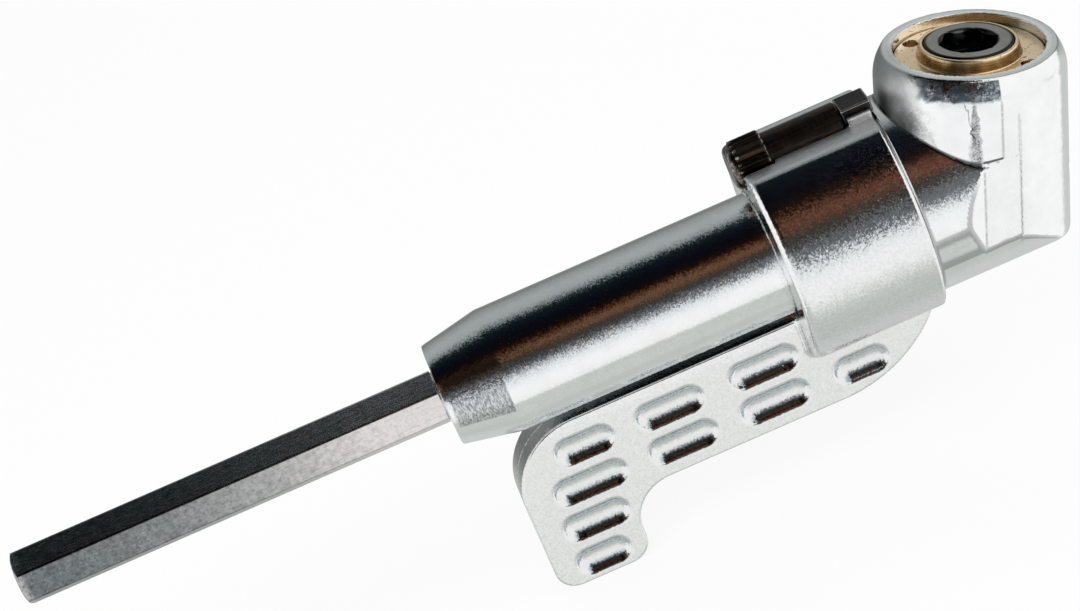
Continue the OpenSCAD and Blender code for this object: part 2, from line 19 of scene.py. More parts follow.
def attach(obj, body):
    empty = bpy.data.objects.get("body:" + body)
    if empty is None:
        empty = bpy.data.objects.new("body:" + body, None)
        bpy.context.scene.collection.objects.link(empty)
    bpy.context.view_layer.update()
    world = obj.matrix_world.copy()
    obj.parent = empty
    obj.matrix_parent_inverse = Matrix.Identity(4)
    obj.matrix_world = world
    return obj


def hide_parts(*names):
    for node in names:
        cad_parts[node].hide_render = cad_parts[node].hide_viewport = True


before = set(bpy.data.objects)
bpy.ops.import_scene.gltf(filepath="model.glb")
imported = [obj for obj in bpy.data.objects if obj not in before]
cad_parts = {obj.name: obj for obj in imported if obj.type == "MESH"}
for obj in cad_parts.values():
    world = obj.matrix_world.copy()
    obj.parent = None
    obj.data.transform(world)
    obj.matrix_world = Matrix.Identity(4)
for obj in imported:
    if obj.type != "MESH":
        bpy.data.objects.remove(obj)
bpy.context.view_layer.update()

LOG = logging.getLogger("attachment")
MM = 0.001
Array = np.ndarray
Field = Callable[[Array, Array, Array], Array]
Lattice = tuple[tuple[float, float, float], tuple[float, float, float], float]
Colour = tuple[float, float, float]
Socket = bpy.types.NodeSocket
WHITE = (1.0, 1.0, 1.0, 1.0)


# Shader maths


class Val:
    """A number on an output socket. Its operators add Math nodes."""

    def __init__(self, tree: bpy.types.NodeTree, socket: Socket) -> None:
        """Wraps a socket of a tree."""
        self.tree = tree
        self.socket = socket

    def math(self, operation: str, *others: "Val | float") -> "Val":
        """Adds one Math node with this value as its first input.

        Args:
            operation: the node's operation.
            others: its further inputs.

        Returns:
            The node's result.
        """
        node = self.tree.nodes.new("ShaderNodeMath")
        node.operation = operation
        for place, value in enumerate((self, *others)):
            if isinstance(value, Val):
                self.tree.links.new(value.socket, node.inputs[place])
            else:
                node.inputs[place].default_value = float(value)
        return Val(self.tree, node.outputs[0])

    def __add__(self, other: "Val | float") -> "Val":
        """Sum."""
        return self.math("ADD", other)

    def __sub__(self, other: "Val | float") -> "Val":
        """Difference."""
        return self.math("SUBTRACT", other)

    def __rsub__(self, other: float) -> "Val":
        """A plain number less this value."""
        return self.math("MULTIPLY", -1.0) + other

    def __mul__(self, other: "Val | float") -> "Val":
        """Product."""
        return self.math("MULTIPLY", other)

    __radd__ = __add__
    __rmul__ = __mul__

    def clip(self) -> "Val":
        """Held between 0 and 1."""
        return self.math("MINIMUM", 1.0).math("MAXIMUM", 0.0)

    def ramp(self, low: float, high: float) -> "Val":
        """Rises in a straight line from 0 at low to 1 at high, and is held outside."""
        return ((self - low) * (1.0 / (high - low))).clip()

    def fall(self, low: float, high: float) -> "Val":
        """Falls in a straight line from 1 at low to 0 at high, and is held outside."""
        return 1.0 - self.ramp(low, high)

    def band(self, start: float, full: float, fade: float, end: float) -> "Val":
        """Rises from 0 at start to 1 at full, and falls from 1 at fade to 0 at end."""
        return self.ramp(start, full) * self.fall(fade, end)

    def size(self) -> "Val":
        """The value without its sign."""
        return self.math("ABSOLUTE")

    def near(self, middle: float, width: float) -> "Val":
        """One at the middle, falling in a straight line to 0 at the width from it."""
        return (1.0 - (self - middle).size() * (1.0 / width)).clip()


class Tree:
    """The nodes of one material or world."""

    def __init__(self, owner: bpy.types.Material | bpy.types.World) -> None:
        """Empties the owner's node tree and takes it over.

        Args:
            owner: the material or world.
        """
        owner.use_nodes = True
        self.tree = owner.node_tree
        self.tree.nodes.clear()

    def add(self, kind: str, settings: dict | None = None, sockets: dict | None = None) -> bpy.types.Node:
        """Adds a node.

        Args:
            kind: the node's type, without its ShaderNode prefix.
            settings: its own properties.
            sockets: values, links or wrapped values for its inputs, by name or place.

        Returns:
            The node.
        """
        node = self.tree.nodes.new("ShaderNode" + kind)
        for name, value in (settings or {}).items():
            setattr(node, name, value)
        for name, value in (sockets or {}).items():
            if isinstance(value, Val):
                value = value.socket
            if isinstance(value, Socket):
                self.tree.links.new(value, node.inputs[name])
            else:
                node.inputs[name].default_value = value
        return node

    def val(self, node: bpy.types.Node, output: str | int = 0) -> Val:
        """A node's output as a value."""
        return Val(self.tree, node.outputs[output])

    def vector(self, operation: str, sockets: dict, output: str | int = 0) -> Socket:
        """Adds one Vector Math node with the values or links of its inputs, and gives its result."""
        return self.add("VectorMath", {"operation": operation}, sockets).outputs[output]

    def millimetres(self, stretch: Sequence[float] = (1.0, 1.0, 1.0)) -> Socket:
        """Object coordinates in millimetres, each axis times its stretch."""
        place = self.add("TexCoord").outputs["Object"]
        return self.vector("MULTIPLY", {0: place, 1: tuple(s / MM for s in stretch)})

    def axes(self) -> tuple[Val, Val, Val]:
        """Object coordinates in millimetres, one value for each axis."""
        split = self.add("SeparateXYZ", None, {0: self.millimetres()})
        return self.val(split, 0), self.val(split, 1), self.val(split, 2)

    def noise(self, size: float, detail: float = 2.0, stretch: Sequence[float] = (1.0, 1.0, 1.0)) -> Val:
        """Noise from 0 to 1 with features of about one size, in millimetres."""
        return self.val(self.add("TexNoise", None, {
            "Vector": self.millimetres(stretch), "Scale": 1.0 / size, "Detail": detail, "Roughness": 0.55}))

    def attribute(self, name: str) -> Val:
        """A number that the mesh carries at its points."""
        return self.val(self.add("Attribute", {"attribute_name": name}), "Fac")

    def blend(self, factor: Val, low: Colour | Socket, high: Colour | Socket) -> Socket:
        """The colour low where the factor is 0, and high where it is 1.

        Args:
            factor: the share of high.
            low: a colour or a link.
            high: a colour or a link.

        Returns:
            The colour.
        """
        node = self.add("Mix", {"data_type": "RGBA"}, {0: factor})
        for place, colour in ((6, low), (7, high)):
            if isinstance(colour, Socket):
                self.tree.links.new(colour, node.inputs[place])
            else:
                node.inputs[place].default_value = (*colour, 1.0)
        return node.outputs[2]

    def head_axes(self) -> tuple[Val, Val, Val, Val]:
        """Place across the head, along Y, up the output axis, and distance from it, in millimetres.

        Returns:
            The four values.
        """
        offset = self.vector("SUBTRACT", {0: self.millimetres(), 1: AXES.middle})
        s, y, t = (Val(self.tree, self.vector("DOT_PRODUCT", {0: offset, 1: way}, "Value"))
                   for way in (AXES.across, (0.0, 1.0, 0.0), AXES.direction))
        return s, y, t, (s * s + y * y).math("SQRT")


Look = tuple[Socket, Val, Val]


# Axes shared by the sub-assemblies


@dataclass(frozen=True)
class HeadAxes:
    """The frame of the output axis: where it crosses the X axis, and its tilt from Z."""

    middle_x: float = 70.1
    tilt_deg: float = 15.0

    @property
    def cos(self) -> float:
        """Cosine of the tilt."""
        return math.cos(math.radians(self.tilt_deg))

    @property
    def sin(self) -> float:
        """Sine of the tilt."""
        return math.sin(math.radians(self.tilt_deg))

    @property
    def middle(self) -> Vector:
        """Where the two axes cross."""
        return Vector((self.middle_x, 0.0, 0.0))

    @property
    def across(self) -> Vector:
        """The way across the head, away from the shank."""
        return Vector((self.cos, 0.0, -self.sin))

    @property
    def direction(self) -> Vector:
        """The way the bit points."""
        return Vector((self.sin, 0.0, self.cos))

    def local(self, x: Array, z: Array) -> tuple[Array, Array]:
        """Place across the head and place up it, of points of the model's frame."""
        return (x - self.middle_x) * self.cos - z * self.sin, (x - self.middle_x) * self.sin + z * self.cos

    def turn(self, vectors: Array) -> Array:
        """Vectors of the head's frame, turned into the model's frame."""
        s, y, t = vectors[..., 0], vectors[..., 1], vectors[..., 2]
        return np.stack([s * self.cos + t * self.sin, y, t * self.cos - s * self.sin], -1)


AXES = HeadAxes()


# Finishes


class Metal(Enum):
    """The metals and platings of the attachment, by the record's slot names."""

    PLATING = "plated_casting"
    BRASS = "brass"
    BRONZE = "bronze"
    SHANK = "shank_steel"
    GEAR = "gear_steel"
    WASHER = "washer_steel"
    SPRING = "spring_steel"
    BLACK = "black_oxide"
    MAGNET = "magnet"


@dataclass(frozen=True)
class Finish:
    """One metal finish. Sizes and heights are in millimetres.

    The surface has broad waves and a fine grain as its bump, clouds of colour between
    two tones, and dark specks. A cast surface is also broken into small cells, each
    tilted a little its own way, which sparkle where light and dark meet.
    """

    name: str
    metal: Metal
    light: Colour
    dark: Colour
    roughness: float
    spread: float = 0.05
    grain_size: float = 0.25
    grain_height: float = 0.002
    wave_size: float = 3.0
    wave_height: float = 0.004
    cloud_size: float = 2.5
    specks: float = 0.0
    cell: float = 0.15
    tilt: float = 0.0

    def material(self) -> bpy.types.Material:
        """Builds the material, with its patterns on Object coordinates.

        Returns:
            The material.
        """
        made = bpy.data.materials.new(self.name)
        t = Tree(made)
        clouds = t.noise(self.cloud_size, 3.0)
        height = t.noise(self.grain_size, 1.0) * self.grain_height + t.noise(self.wave_size, 1.0) * self.wave_height
        rough = self.roughness + (clouds - 0.5) * (2.0 * self.spread)
        colour = t.blend(clouds.ramp(0.3, 0.7), self.dark, self.light)
        if self.specks:
            speck = t.noise(0.45, 1.0).ramp(0.74 - 0.15 * self.specks, 0.80 - 0.15 * self.specks)
            colour = t.blend(speck * 0.75, colour, tuple(0.12 * c for c in self.dark))
            rough = rough + speck * 0.2
        colour, rough, height = self.detail(t, colour, rough, height)
        normal = t.add("Bump", None, {"Strength": 1.0, "Distance": MM, "Height": height}).outputs[0]
        if self.tilt:
            cells = t.add("TexVoronoi", None, {"Vector": t.millimetres(), "Scale": 1.0 / self.cell}).outputs["Color"]
            lean = t.vector("SUBTRACT", {0: cells, 1: (0.5, 0.5, 0.5)})
            lean = t.vector("SCALE", {0: lean, "Scale": self.lean(t)})
            normal = t.vector("NORMALIZE", {0: t.vector("ADD", {0: lean, 1: normal})})
        shader = t.add("BsdfPrincipled", None, {
            "Base Color": colour, "Metallic": 1.0, "Roughness": rough.clip(), "Normal": normal})
        t.add("OutputMaterial", None, {"Surface": shader.outputs[0]})
        return made

    def lean(self, t: Tree) -> Val:
        """How far the cells are tilted, in some places more than in others."""
        return t.noise(2.0, 2.0).ramp(0.2, 0.8) * self.tilt + 1.5 * self.tilt

    def detail(self, t: Tree, colour: Socket, rough: Val, height: Val) -> Look:
        """Adds what one finish has beyond the others.

        Args:
            t: the material's tree.
            colour: the colour so far.
            rough: the roughness so far.
            height: the height so far, in millimetres.

        Returns:
            The three, changed.
        """
        return colour, rough, height


@dataclass(frozen=True)
class PlatedCasting(Finish):
    """Bright nickel on a die casting, with painted shade in its sharp hollows."""

    # colour of the shade painted into sharp hollows and creases
    painted_crease_shade: Colour = (0.05, 0.055, 0.06)

    def detail(self, t: Tree, colour: Socket, rough: Val, height: Val) -> Look:
        """Paints shade into the hollows, by the bend that the mesh carries."""
        # painted shade: the sharper the hollow, the more of the shade colour it takes
        deep = (0.0 - t.attribute("bend")).ramp(0.3, 0.8)
        return t.blend(deep * 0.92, colour, self.painted_crease_shade), rough, height


@dataclass(frozen=True)
class HandleCasting(PlatedCasting):
    """The plated handle: round the plate's rim it is dull and has painted shade, darkest close
    under the tube, with the raised parting line of its mould along y = 0."""

    parting_half: float = 0.22
    parting_height: float = 0.05
    deep_x: tuple[float, float, float] = (11.0, 24.0, 43.3)
    deep_z: float = -9.6
    flat_z: float = 12.6
    plate_z: tuple[float, float] = (-10.5, -9.5)
    # place and half size along X and Y of the painted warm glint
    painted_glint_at: tuple[float, float] = (42.5, -1.6)
    painted_glint_half: tuple[float, float] = (0.7, 1.1)
    # colour of the painted shade round the plate's rim
    painted_shade: Colour = (0.15, 0.19, 0.19)
    plate: Colour = (0.77, 0.765, 0.755)
    # colour of the painted shade on the lower walls of the recesses
    wall: Colour = (0.20, 0.31, 0.38)
    # colour of the painted warm glint, a reflection painted on the rim's end beside the collar
    glow: Colour = (0.62, 0.17, 0.06)

    def detail(self, t: Tree, colour: Socket, rough: Val, height: Val) -> Look:
        """Paints shade on the rim and on the lower walls of the recesses, which the mesh marks,
        dulls the flat by the screw, and paints a warm glint on the rim's end beside the collar.

        Args:
            t: the material's tree.
            colour: the colour so far.
            rough: the roughness so far.
            height: the height so far, in millimetres.

        Returns:
            The three, changed.
        """
        colour, rough, height = super().detail(t, colour, rough, height)
        x, y, z = t.axes()
        rim = t.attribute("rim")
        line = y.near(0.0, self.parting_half) * rim
        worn = t.noise(0.5, 2.0, (1.0, 0.2, 1.0)).ramp(0.35, 0.55)
        start, full, end = self.deep_x
        # where the rim's painted shade is darkest: close under the tube
        deep = z.ramp(self.deep_z, self.deep_z + 0.3) * x.band(start, full, end, end + 0.2)
        scratch = t.noise(0.25, 2.0, (0.05, 1.0, 1.0)).ramp(0.58, 0.66)
        # painted shade round the rim, lightened by scratches and along the worn parting line
        painted_shade = rim * (0.45 + deep * 0.48 - scratch * 0.30 - line * worn * 0.35)
        colour = t.blend(painted_shade.clip(), colour, self.painted_shade)
        colour = t.blend(z.fall(*self.plate_z) * 0.45, colour, self.plate)
        # painted shade on the lower walls of the recesses, where the mesh's wall mark is
        colour = t.blend(t.attribute("wall") * 0.8, colour, self.wall)
        rough = rough + z.ramp(self.flat_z, self.flat_z + 0.2) * 0.30
        # painted warm glint on the rim's end beside the collar, under the tube
        near_x, near_y = (v.near(at, half).ramp(0.0, 0.3) for v, at, half in zip((x, y), self.painted_glint_at, self.painted_glint_half))
        colour = t.blend(near_x * near_y * rim * deep * 0.7, colour, self.glow)
        return colour, rough + rim * 0.08, height + line.ramp(0.0, 0.6) * worn * self.parting_height


@dataclass(frozen=True)
class NoseCasting(PlatedCasting):
    """The plated tube, whose nose taper is left rough by the mould between the land and the top."""

    nose: tuple[float, float] = (0.5, 7.6)
    patch_deg: tuple[float, float] = (-13.35, 25.0)
    patch: Colour = (0.20, 0.22, 0.23)

    def detail(self, t: Tree, colour: Socket, rough: Val, height: Val) -> Look:
        """Roughens the patch, which lies between two angles up from level, with short strokes round the nose.

        Args:
            t: the material's tree.
            colour: the colour so far.
            rough: the roughness so far.
            height: the height so far, in millimetres.

        Returns:
            The three, changed.
        """
        colour, rough, height = super().detail(t, colour, rough, height)
        x, y, z = t.axes()
        low, high = (math.radians(a) for a in self.patch_deg)
        turn = z.math("ARCTAN2", y.size())
        start, end = self.nose
        wander = (t.noise(0.6, 2.0) - 0.5) * 0.5
        zone = (x + wander).ramp(start, start + 0.3) * (x + wander * 0.4).fall(end - 0.1, end + 0.05)
        zone = zone * turn.ramp(low, low + 0.03) * (turn + wander * 0.3).fall(high - 0.15, high)
        strokes = t.noise(0.17, 2.0, (1.0, 0.38, 0.38))
        colour = t.blend(zone * (strokes.ramp(0.40, 0.62) * 0.55 + 0.30), colour, self.patch)
        return colour, rough + zone * 0.08, height + zone * strokes * 0.08


@dataclass(frozen=True)
class HeadCasting(PlatedCasting):
    """The plated head: a rough dark band under the rim, painted shade in mottles beside
    its facets, a dull end beside the collar with painted shade, and thin lines along the facets' edges.

    Places are in the head's frame. A line has its place across the head, its foot,
    its top and its strength. The kink starts at a place and height, with a slope.
    """

    rim: tuple[float, float] = (13.2, 15.55)
    ring_foot: float = 15.72
    outer_r: tuple[float, float] = (9.6, 9.9)
    barrel_r: tuple[float, float] = (11.65, 11.85)
    streak_s: float = -3.1
    left_s: float = -9.2
    dull_s: tuple[float, float] = (-10.2, -8.2)
    lines: tuple[tuple[float, float, float, float], ...] = (
        (0.06, 5.7, 13.3, 0.6), (2.15, -5.9, 11.3, 0.4), (2.3, -5.9, 10.6, 0.3), (-2.3, -6.6, 4.6, 0.6))
    kink: tuple[float, float, float] = (-2.4, 5.6, 0.13)
    ring: Colour = (0.74, 0.77, 0.76)
    band: Colour = (0.10, 0.135, 0.17)
    # colour of the painted shade on the dull end beside the collar
    dull: Colour = (0.36, 0.39, 0.385)
    # colour of the painted shade in the mottles
    painted_shade_mottle: Colour = (0.05, 0.06, 0.065)
    line: Colour = (0.08, 0.09, 0.10)

    def under(self, t: Tree) -> Val:
        """The rough band: below the rim, and ending in a sharp stop at the facets.

        Args:
            t: the material's tree.

        Returns:
            How far a point is in the band, from 0 to 1.
        """
        s, _, up, away = t.head_axes()
        low, high = self.rim
        wander = (t.noise(0.9, 3.0) - 0.5) * 2.0
        band = (up + wander * 0.5).ramp(low - 0.1, low + 0.3) * (up + wander * 0.1).fall(high, high + 0.1)
        return band * away.ramp(*self.outer_r) * s.fall(0.0, 0.1) * (s + wander * 0.4).ramp(-9.2, -8.2)

    def lean(self, t: Tree) -> Val:
        """Cells lean most in the rough band, and least on the rest of the head's side.

        Args:
            t: the material's tree.

        Returns:
            How far the cells are tilted.
        """
        _, _, up, _ = t.head_axes()
        side = 1.0 - up.ramp(5.0, 8.0) * 0.6
        patches = t.noise(0.7, 3.0, (0.6, 0.6, 1.0)).ramp(0.42, 0.60)
        return super().lean(t) * side + self.under(t) * patches * 0.22

    def mottles(self, t: Tree) -> tuple[Val, Val]:
        """Works out the painted shade in gritty mottles beside the facets and by the neck.

        Args:
            t: the material's tree.

        Returns:
            How dark the painted shade is, and how rough the surface is there.
        """
        s, _, up, away = t.head_axes()
        outside = away.ramp(*self.outer_r)
        wander = (t.noise(1.1, 3.0) - 0.5) * 2.0
        width = up.fall(5.0, 12.5) * 0.75 + 0.35
        core = 1.0 - (s + wander * 0.35 - self.streak_s).size().math("DIVIDE", width).clip()
        streak = core * up.band(4.8, 6.0, 12.6, 13.3) * outside
        vein = (s + wander * 0.8 + (up - 6.5) * 0.13 - self.streak_s).size().fall(0.03, 0.14)
        vein = vein * up.band(7.5, 9.0, 13.2, 13.6) * outside
        left = (s + wander).near(self.left_s, 2.0) * up.band(8.0, 9.0, 11.5, 12.5) * outside
        grit = (t.noise(0.7, 3.0) * 0.4 + t.noise(0.18, 2.0) * 0.6).ramp(0.42, 0.58)
        # painted shade, broken by grit
        dark = streak.ramp(0.0, 0.5) * (0.30 + grit * 0.55) + left * grit * 0.4 + vein * 0.6
        return dark.clip(), (streak + left).clip()

    def drawn(self, t: Tree) -> Val:
        """The broken lines along the facets' edges.

        Args:
            t: the material's tree.

        Returns:
            How dark the lines are, from 0 to 1.
        """
        s, _, up, away = t.head_axes()
        found = None
        for middle, foot, top, weight in self.lines:
            line = s.near(middle, 0.24) * up.band(foot, foot + 0.3, top - 0.3, top) * weight
            found = line if found is None else found.math("MAXIMUM", line)
        broken = t.noise(0.4, 2.0).ramp(0.25, 0.5) * 0.6 + t.noise(0.15, 1.0).ramp(0.35, 0.6) * 0.4
        return found * (broken * away.ramp(*self.outer_r))

    def detail(self, t: Tree, colour: Socket, rough: Val, height: Val) -> Look:
        """Adds the band, the dull end with its painted shade, the painted shade in mottles, the
        ring at the rim and the lines, and ends the seam over the neck in a short kink.

        Args:
            t: the material's tree.
            colour: the colour so far.
            rough: the roughness so far.
            height: the height so far, in millimetres.

        Returns:
            The three, changed.
        """
        colour, rough, height = super().detail(t, colour, rough, height)
        s, y, up, away = t.head_axes()
        outside = away.ramp(*self.outer_r)
        under = self.under(t)
        coarse, fine = t.noise(0.7, 3.0), t.noise(0.18, 2.0)
        patchy = t.noise(0.8, 4.0, (0.5, 0.5, 1.0)).ramp(0.40, 0.58)
        colour = t.blend(under * (0.55 + patchy * 0.42), colour, self.band)
        wander = t.noise(1.1, 3.0) - 0.5
        # dull end beside the collar: really rougher, and greyed by painted shade
        dull = (s + wander).fall(*self.dull_s) * away.fall(*self.barrel_r)
        colour = t.blend(dull * (0.55 + coarse * 0.4), colour, self.dull)
        dark, pitted = self.mottles(t)
        # painted shade beside the facets and by the neck
        colour = t.blend(dark, colour, self.painted_shade_mottle)
        colour = t.blend(up.ramp(self.ring_foot, self.ring_foot + 0.08) * outside, colour, self.ring)
        height = height + under * (coarse * 0.07 + fine * 0.012) + pitted * (coarse * 0.03 + fine * 0.02)
        drawn = self.drawn(t)
        start, foot, slope = self.kink
        kink = (up - s * slope).near(foot - start * slope, 0.2).ramp(0.0, 0.5)
        kink = kink * s.band(start, start + 0.1, 0.0, 0.15) * outside
        edge = t.attribute("bend").ramp(0.1, 0.5) * up.fall(2.0, 4.0) * y.size().ramp(8.0, 9.0)
        lines = drawn.math("MAXIMUM", kink * 0.95).math("MAXIMUM", edge * 0.45)
        rough = rough + under * (patchy * 0.30 + 0.05) + dull * 0.30
        return t.blend(lines, colour, self.line), rough, height - drawn * 0.02


@dataclass(frozen=True)
class HubBrass(Finish):
    """Turned brass with tool rings, with painted shade on the hub's side and on the outer ring, streaked across the
    turning.
    """

    ring: float = 0.22
    ring_height: float = 0.0015
    hub_r: tuple[float, float] = (5.95, 6.4)
    hub_t: tuple[float, float] = (14.72, 16.0)
    outer_r: tuple[float, float] = (8.8, 8.95)
    # colour of the painted shade on the hub's side and the outer ring
    painted_shade: Colour = (0.34, 0.20, 0.07)

    def detail(self, t: Tree, colour: Socket, rough: Val, height: Val) -> Look:
        """Adds the rings, as a sine of the place along the axis plus the distance from
        it, and paints shade on the hub's side and the outer ring, in streaks that run up it.

        Args:
            t: the material's tree.
            colour: the colour so far.
            rough: the roughness so far.
            height: the height so far, in millimetres.

        Returns:
            The three, changed.
        """
        _, _, up, away = t.head_axes()
        rings = ((up + away) * (2.0 * math.pi / self.ring)).math("SINE")
        (inner, outer), (foot, top) = self.hub_r, self.hub_t
        side = away.band(inner - 0.02, inner + 0.06, outer, outer + 0.1) * up.band(foot, foot + 0.1, top, top + 0.1)
        # outer ring: painted shade at the gap by the casting's mouth
        side = side.math("MAXIMUM", away.ramp(*self.outer_r))
        streaks = t.noise(1.3, 3.0, (1.0, 1.0, 0.15)).ramp(0.3, 0.6)
        # painted shade, streaked up the hub's side
        colour = t.blend(side * (0.55 + streaks * 0.4), colour, self.painted_shade)
        return colour, rough, height + rings * self.ring_height


@dataclass(frozen=True)
class Drawn(Finish):
    """A drawn finish along X: dull at the far end, and bright where it is polished near the body."""

    run: tuple[float, float] = (-52.0, -8.0)
    end: tuple[float, float] = (-55.0, -54.3)
    worn: Colour = (0.80, 0.76, 0.75)

    def detail(self, t: Tree, colour: Socket, rough: Val, height: Val) -> Look:
        """Brightens the steel along its run and on its worn end, with fine pits and long scratches.

        Args:
            t: the material's tree.
            colour: the colour so far.
            rough: the roughness so far.
            height: the height so far, in millimetres.

        Returns:
            The three, changed.
        """
        x, _, _ = t.axes()
        run = (x + (t.noise(0.7, 4.0) - 0.5) * 20.0).ramp(*self.run)
        colour = t.blend((run * run + x.fall(*self.end) * 0.5).clip(), colour, self.worn)
        fine = t.noise(0.12, 1.0, (0.06, 1.0, 1.0)).ramp(0.52, 0.70)
        pits = t.noise(0.45, 5.0).ramp(0.46, 0.64)
        colour = t.blend(pits * (0.66 - run * 0.54) + fine * 0.12, colour, tuple(0.4 * c for c in self.dark))
        light = t.noise(0.25, 3.0, (0.7, 1.0, 1.0)).ramp(0.60, 0.68)
        colour = t.blend(light * (0.26 - run * 0.1), colour, self.worn)
        return colour, rough + fine * 0.06, height - fine * 0.003 - pits * 0.004


@dataclass(frozen=True)
class Oxide(Finish):
    """Black oxide that is rubbed to bare steel along outer edges."""

    bare: Colour = (0.45, 0.44, 0.42)

    def detail(self, t: Tree, colour: Socket, rough: Val, height: Val) -> Look:
        """Rubs the edges, by the curvature that the mesh carries."""
        worn = (t.attribute("bend") + (t.noise(0.5, 3.0) - 0.5) * 0.9).ramp(0.45, 0.9)
        return t.blend(worn, colour, self.bare), rough - worn * 0.1, height


@dataclass(frozen=True)
class ScrewOxide(Oxide):
    """Black oxide on a rolled barrel, browned and streaked along X."""

    brown: Colour = (0.065, 0.042, 0.028)

    def detail(self, t: Tree, colour: Socket, rough: Val, height: Val) -> Look:
        """Adds the streaks under the rubbed edges.

        Args:
            t: the material's tree.
            colour: the colour so far.
            rough: the roughness so far.
            height: the height so far, in millimetres.

        Returns:
            The three, changed.
        """
        streaks = t.noise(0.3, 2.0, (0.08, 1.0, 1.0))
        colour = t.blend(streaks.ramp(0.42, 0.62), colour, self.brown)
        return super().detail(t, colour, rough, height + streaks * 0.05)


@dataclass(frozen=True)
class SocketOxide(Oxide):
    """The socket: bright grey on its top face, black round its rim, and mottled inside."""

    face_r: tuple[float, float] = (3.65, 5.0)
    face_t: float = 16.25
    black: Colour = (0.022, 0.024, 0.022)
    inner: Colour = (0.17, 0.20, 0.18)

    def detail(self, t: Tree, colour: Socket, rough: Val, height: Val) -> Look:
        """Blackens all but the ring between two radii at the top, and mottles the inside.

        Args:
            t: the material's tree.
            colour: the colour so far.
            rough: the roughness so far.
            height: the height so far, in millimetres.

        Returns:
            The three, changed.
        """
        _, _, up, away = t.head_axes()
        low, high = self.face_r
        ring = away.band(low - 0.1, low + 0.15, high - 0.1, high + 0.1) * up.ramp(self.face_t - 0.1, self.face_t)
        mottled = away.fall(low - 0.4, low - 0.2) * t.noise(1.4, 3.0).ramp(0.42, 0.62)
        return t.blend(ring, t.blend(mottled, self.black, self.inner), colour), rough + mottled * 0.25, height


FINISHES = (
    NoseCasting("plated_tube", Metal.PLATING, (0.94, 0.95, 0.95), (0.88, 0.89, 0.89), 0.08, 0.015,
                grain_height=0.004, wave_height=0.010, tilt=0.046),
    HeadCasting("plated_head", Metal.PLATING, (0.94, 0.95, 0.95), (0.88, 0.89, 0.89), 0.11, 0.015,
                grain_height=0.004, wave_height=0.018, tilt=0.05),
    HandleCasting("plated_handle", Metal.PLATING, (0.91, 0.92, 0.92), (0.81, 0.82, 0.82), 0.10, 0.02,
                  grain_height=0.006, wave_height=0.010, cloud_size=0.4, tilt=0.065),
    HubBrass("turned_brass", Metal.BRASS, (1.00, 0.82, 0.57), (0.90, 0.66, 0.40), 0.26, 0.08, specks=0.5),
    Finish("sintered_bronze", Metal.BRONZE, (0.62, 0.42, 0.22), (0.42, 0.27, 0.13), 0.42, 0.1, specks=1.0),
    Drawn("shank_steel", Metal.SHANK, (0.26, 0.28, 0.285), (0.15, 0.165, 0.17), 0.22, 0.05, cloud_size=0.9, tilt=0.014),
    Finish("gear_steel", Metal.GEAR, (0.46, 0.46, 0.48), (0.30, 0.30, 0.32), 0.3, 0.08),
    Finish("washer_steel", Metal.WASHER, (0.62, 0.62, 0.63), (0.48, 0.48, 0.50), 0.26, 0.06),
    Finish("spring_steel", Metal.SPRING, (0.26, 0.26, 0.27), (0.14, 0.14, 0.15), 0.32, 0.06),
    Oxide("black_oxide", Metal.BLACK, (0.045, 0.042, 0.040), (0.018, 0.017, 0.017), 0.3, 0.08),
    ScrewOxide("screw_oxide", Metal.BLACK, (0.040, 0.036, 0.034), (0.014, 0.013, 0.013), 0.3, 0.08),
    SocketOxide("socket_oxide", Metal.BLACK, (0.34, 0.34, 0.32), (0.24, 0.24, 0.23), 0.24, 0.06),
    Finish("magnet_nickel", Metal.MAGNET, (0.72, 0.71, 0.68), (0.58, 0.57, 0.55), 0.2, 0.05),
)


# Surfaces


def inside(*fields: Array) -> Array:
    """What lies inside every one of the fields: the largest of them."""
    return reduce(np.maximum, fields)


def either(*fields: Array) -> Array:
    """What lies inside any of the fields: the smallest of them."""
    return reduce(np.minimum, fields)


def round_both(a: Array, b: Array, radius: float) -> Array:
    """The larger of two fields, and by their edge the distance from a circle inside that touches both."""
    u, v = a + radius, b + radius
    return np.minimum(np.maximum(u, v), 0.0) + np.hypot(np.maximum(u, 0.0), np.maximum(v, 0.0)) - radius


def fillet_union(a: Array, b: Array, radius: float) -> Array:
    """The smaller of two fields, and by their corner the distance from a circle outside that touches both."""
    u, v = radius - a, radius - b
    return np.maximum(np.minimum(a, b), radius) - np.hypot(np.maximum(u, 0.0), np.maximum(v, 0.0))


def cut(a: Array, b: Array, radius: float) -> Array:
    """What lies inside a and outside b, with the edge of the cut rounded."""
    return round_both(a, -b, radius)


def slab(a: Array, low: float, high: float) -> Array:
    """What lies between two values of a coordinate."""
    return np.maximum(low - a, a - high)


def rise(a: Array, low: float, high: float) -> Array:
    """Rises in a straight line from 0 where a is low to 1 where it is high, and is held outside."""
    return np.clip((a - low) / (high - low), 0.0, 1.0)


@dataclass
class Surface:
    """Points in millimetres, faces of four or three corners, normals, and marks at the
    points. The mark bend is above 0 on outer edges and below 0 in hollows."""

    points: Array
    quads: Array
    triangles: Array = field(default_factory=lambda: np.zeros((0, 3), int))
    normals: Array | None = None
    marks: dict[str, Array] = field(default_factory=dict)

    def on_head(self) -> "Surface":
        """The netted surface, moved from the head's frame to its place in the model's frame."""
        return replace(self, points=AXES.turn(self.points) + np.array(AXES.middle), normals=AXES.turn(self.normals))


def around(shape: Field, points: Array, reach: float) -> tuple[Array, Array]:
    """Values of a field a reach ahead of each point, and a reach behind it, along each axis."""
    steps = reach * np.eye(3)
    return tuple(np.stack([shape(*(points + sign * step).T) for step in steps], -1) for sign in (1.0, -1.0))


def gradient(shape: Field, points: Array, reach: float = 0.02) -> Array:
    """Slope of a field at each point: the value ahead less the value behind, over twice the reach."""
    ahead, behind = around(shape, points, reach)
    return (ahead - behind) / (2.0 * reach)


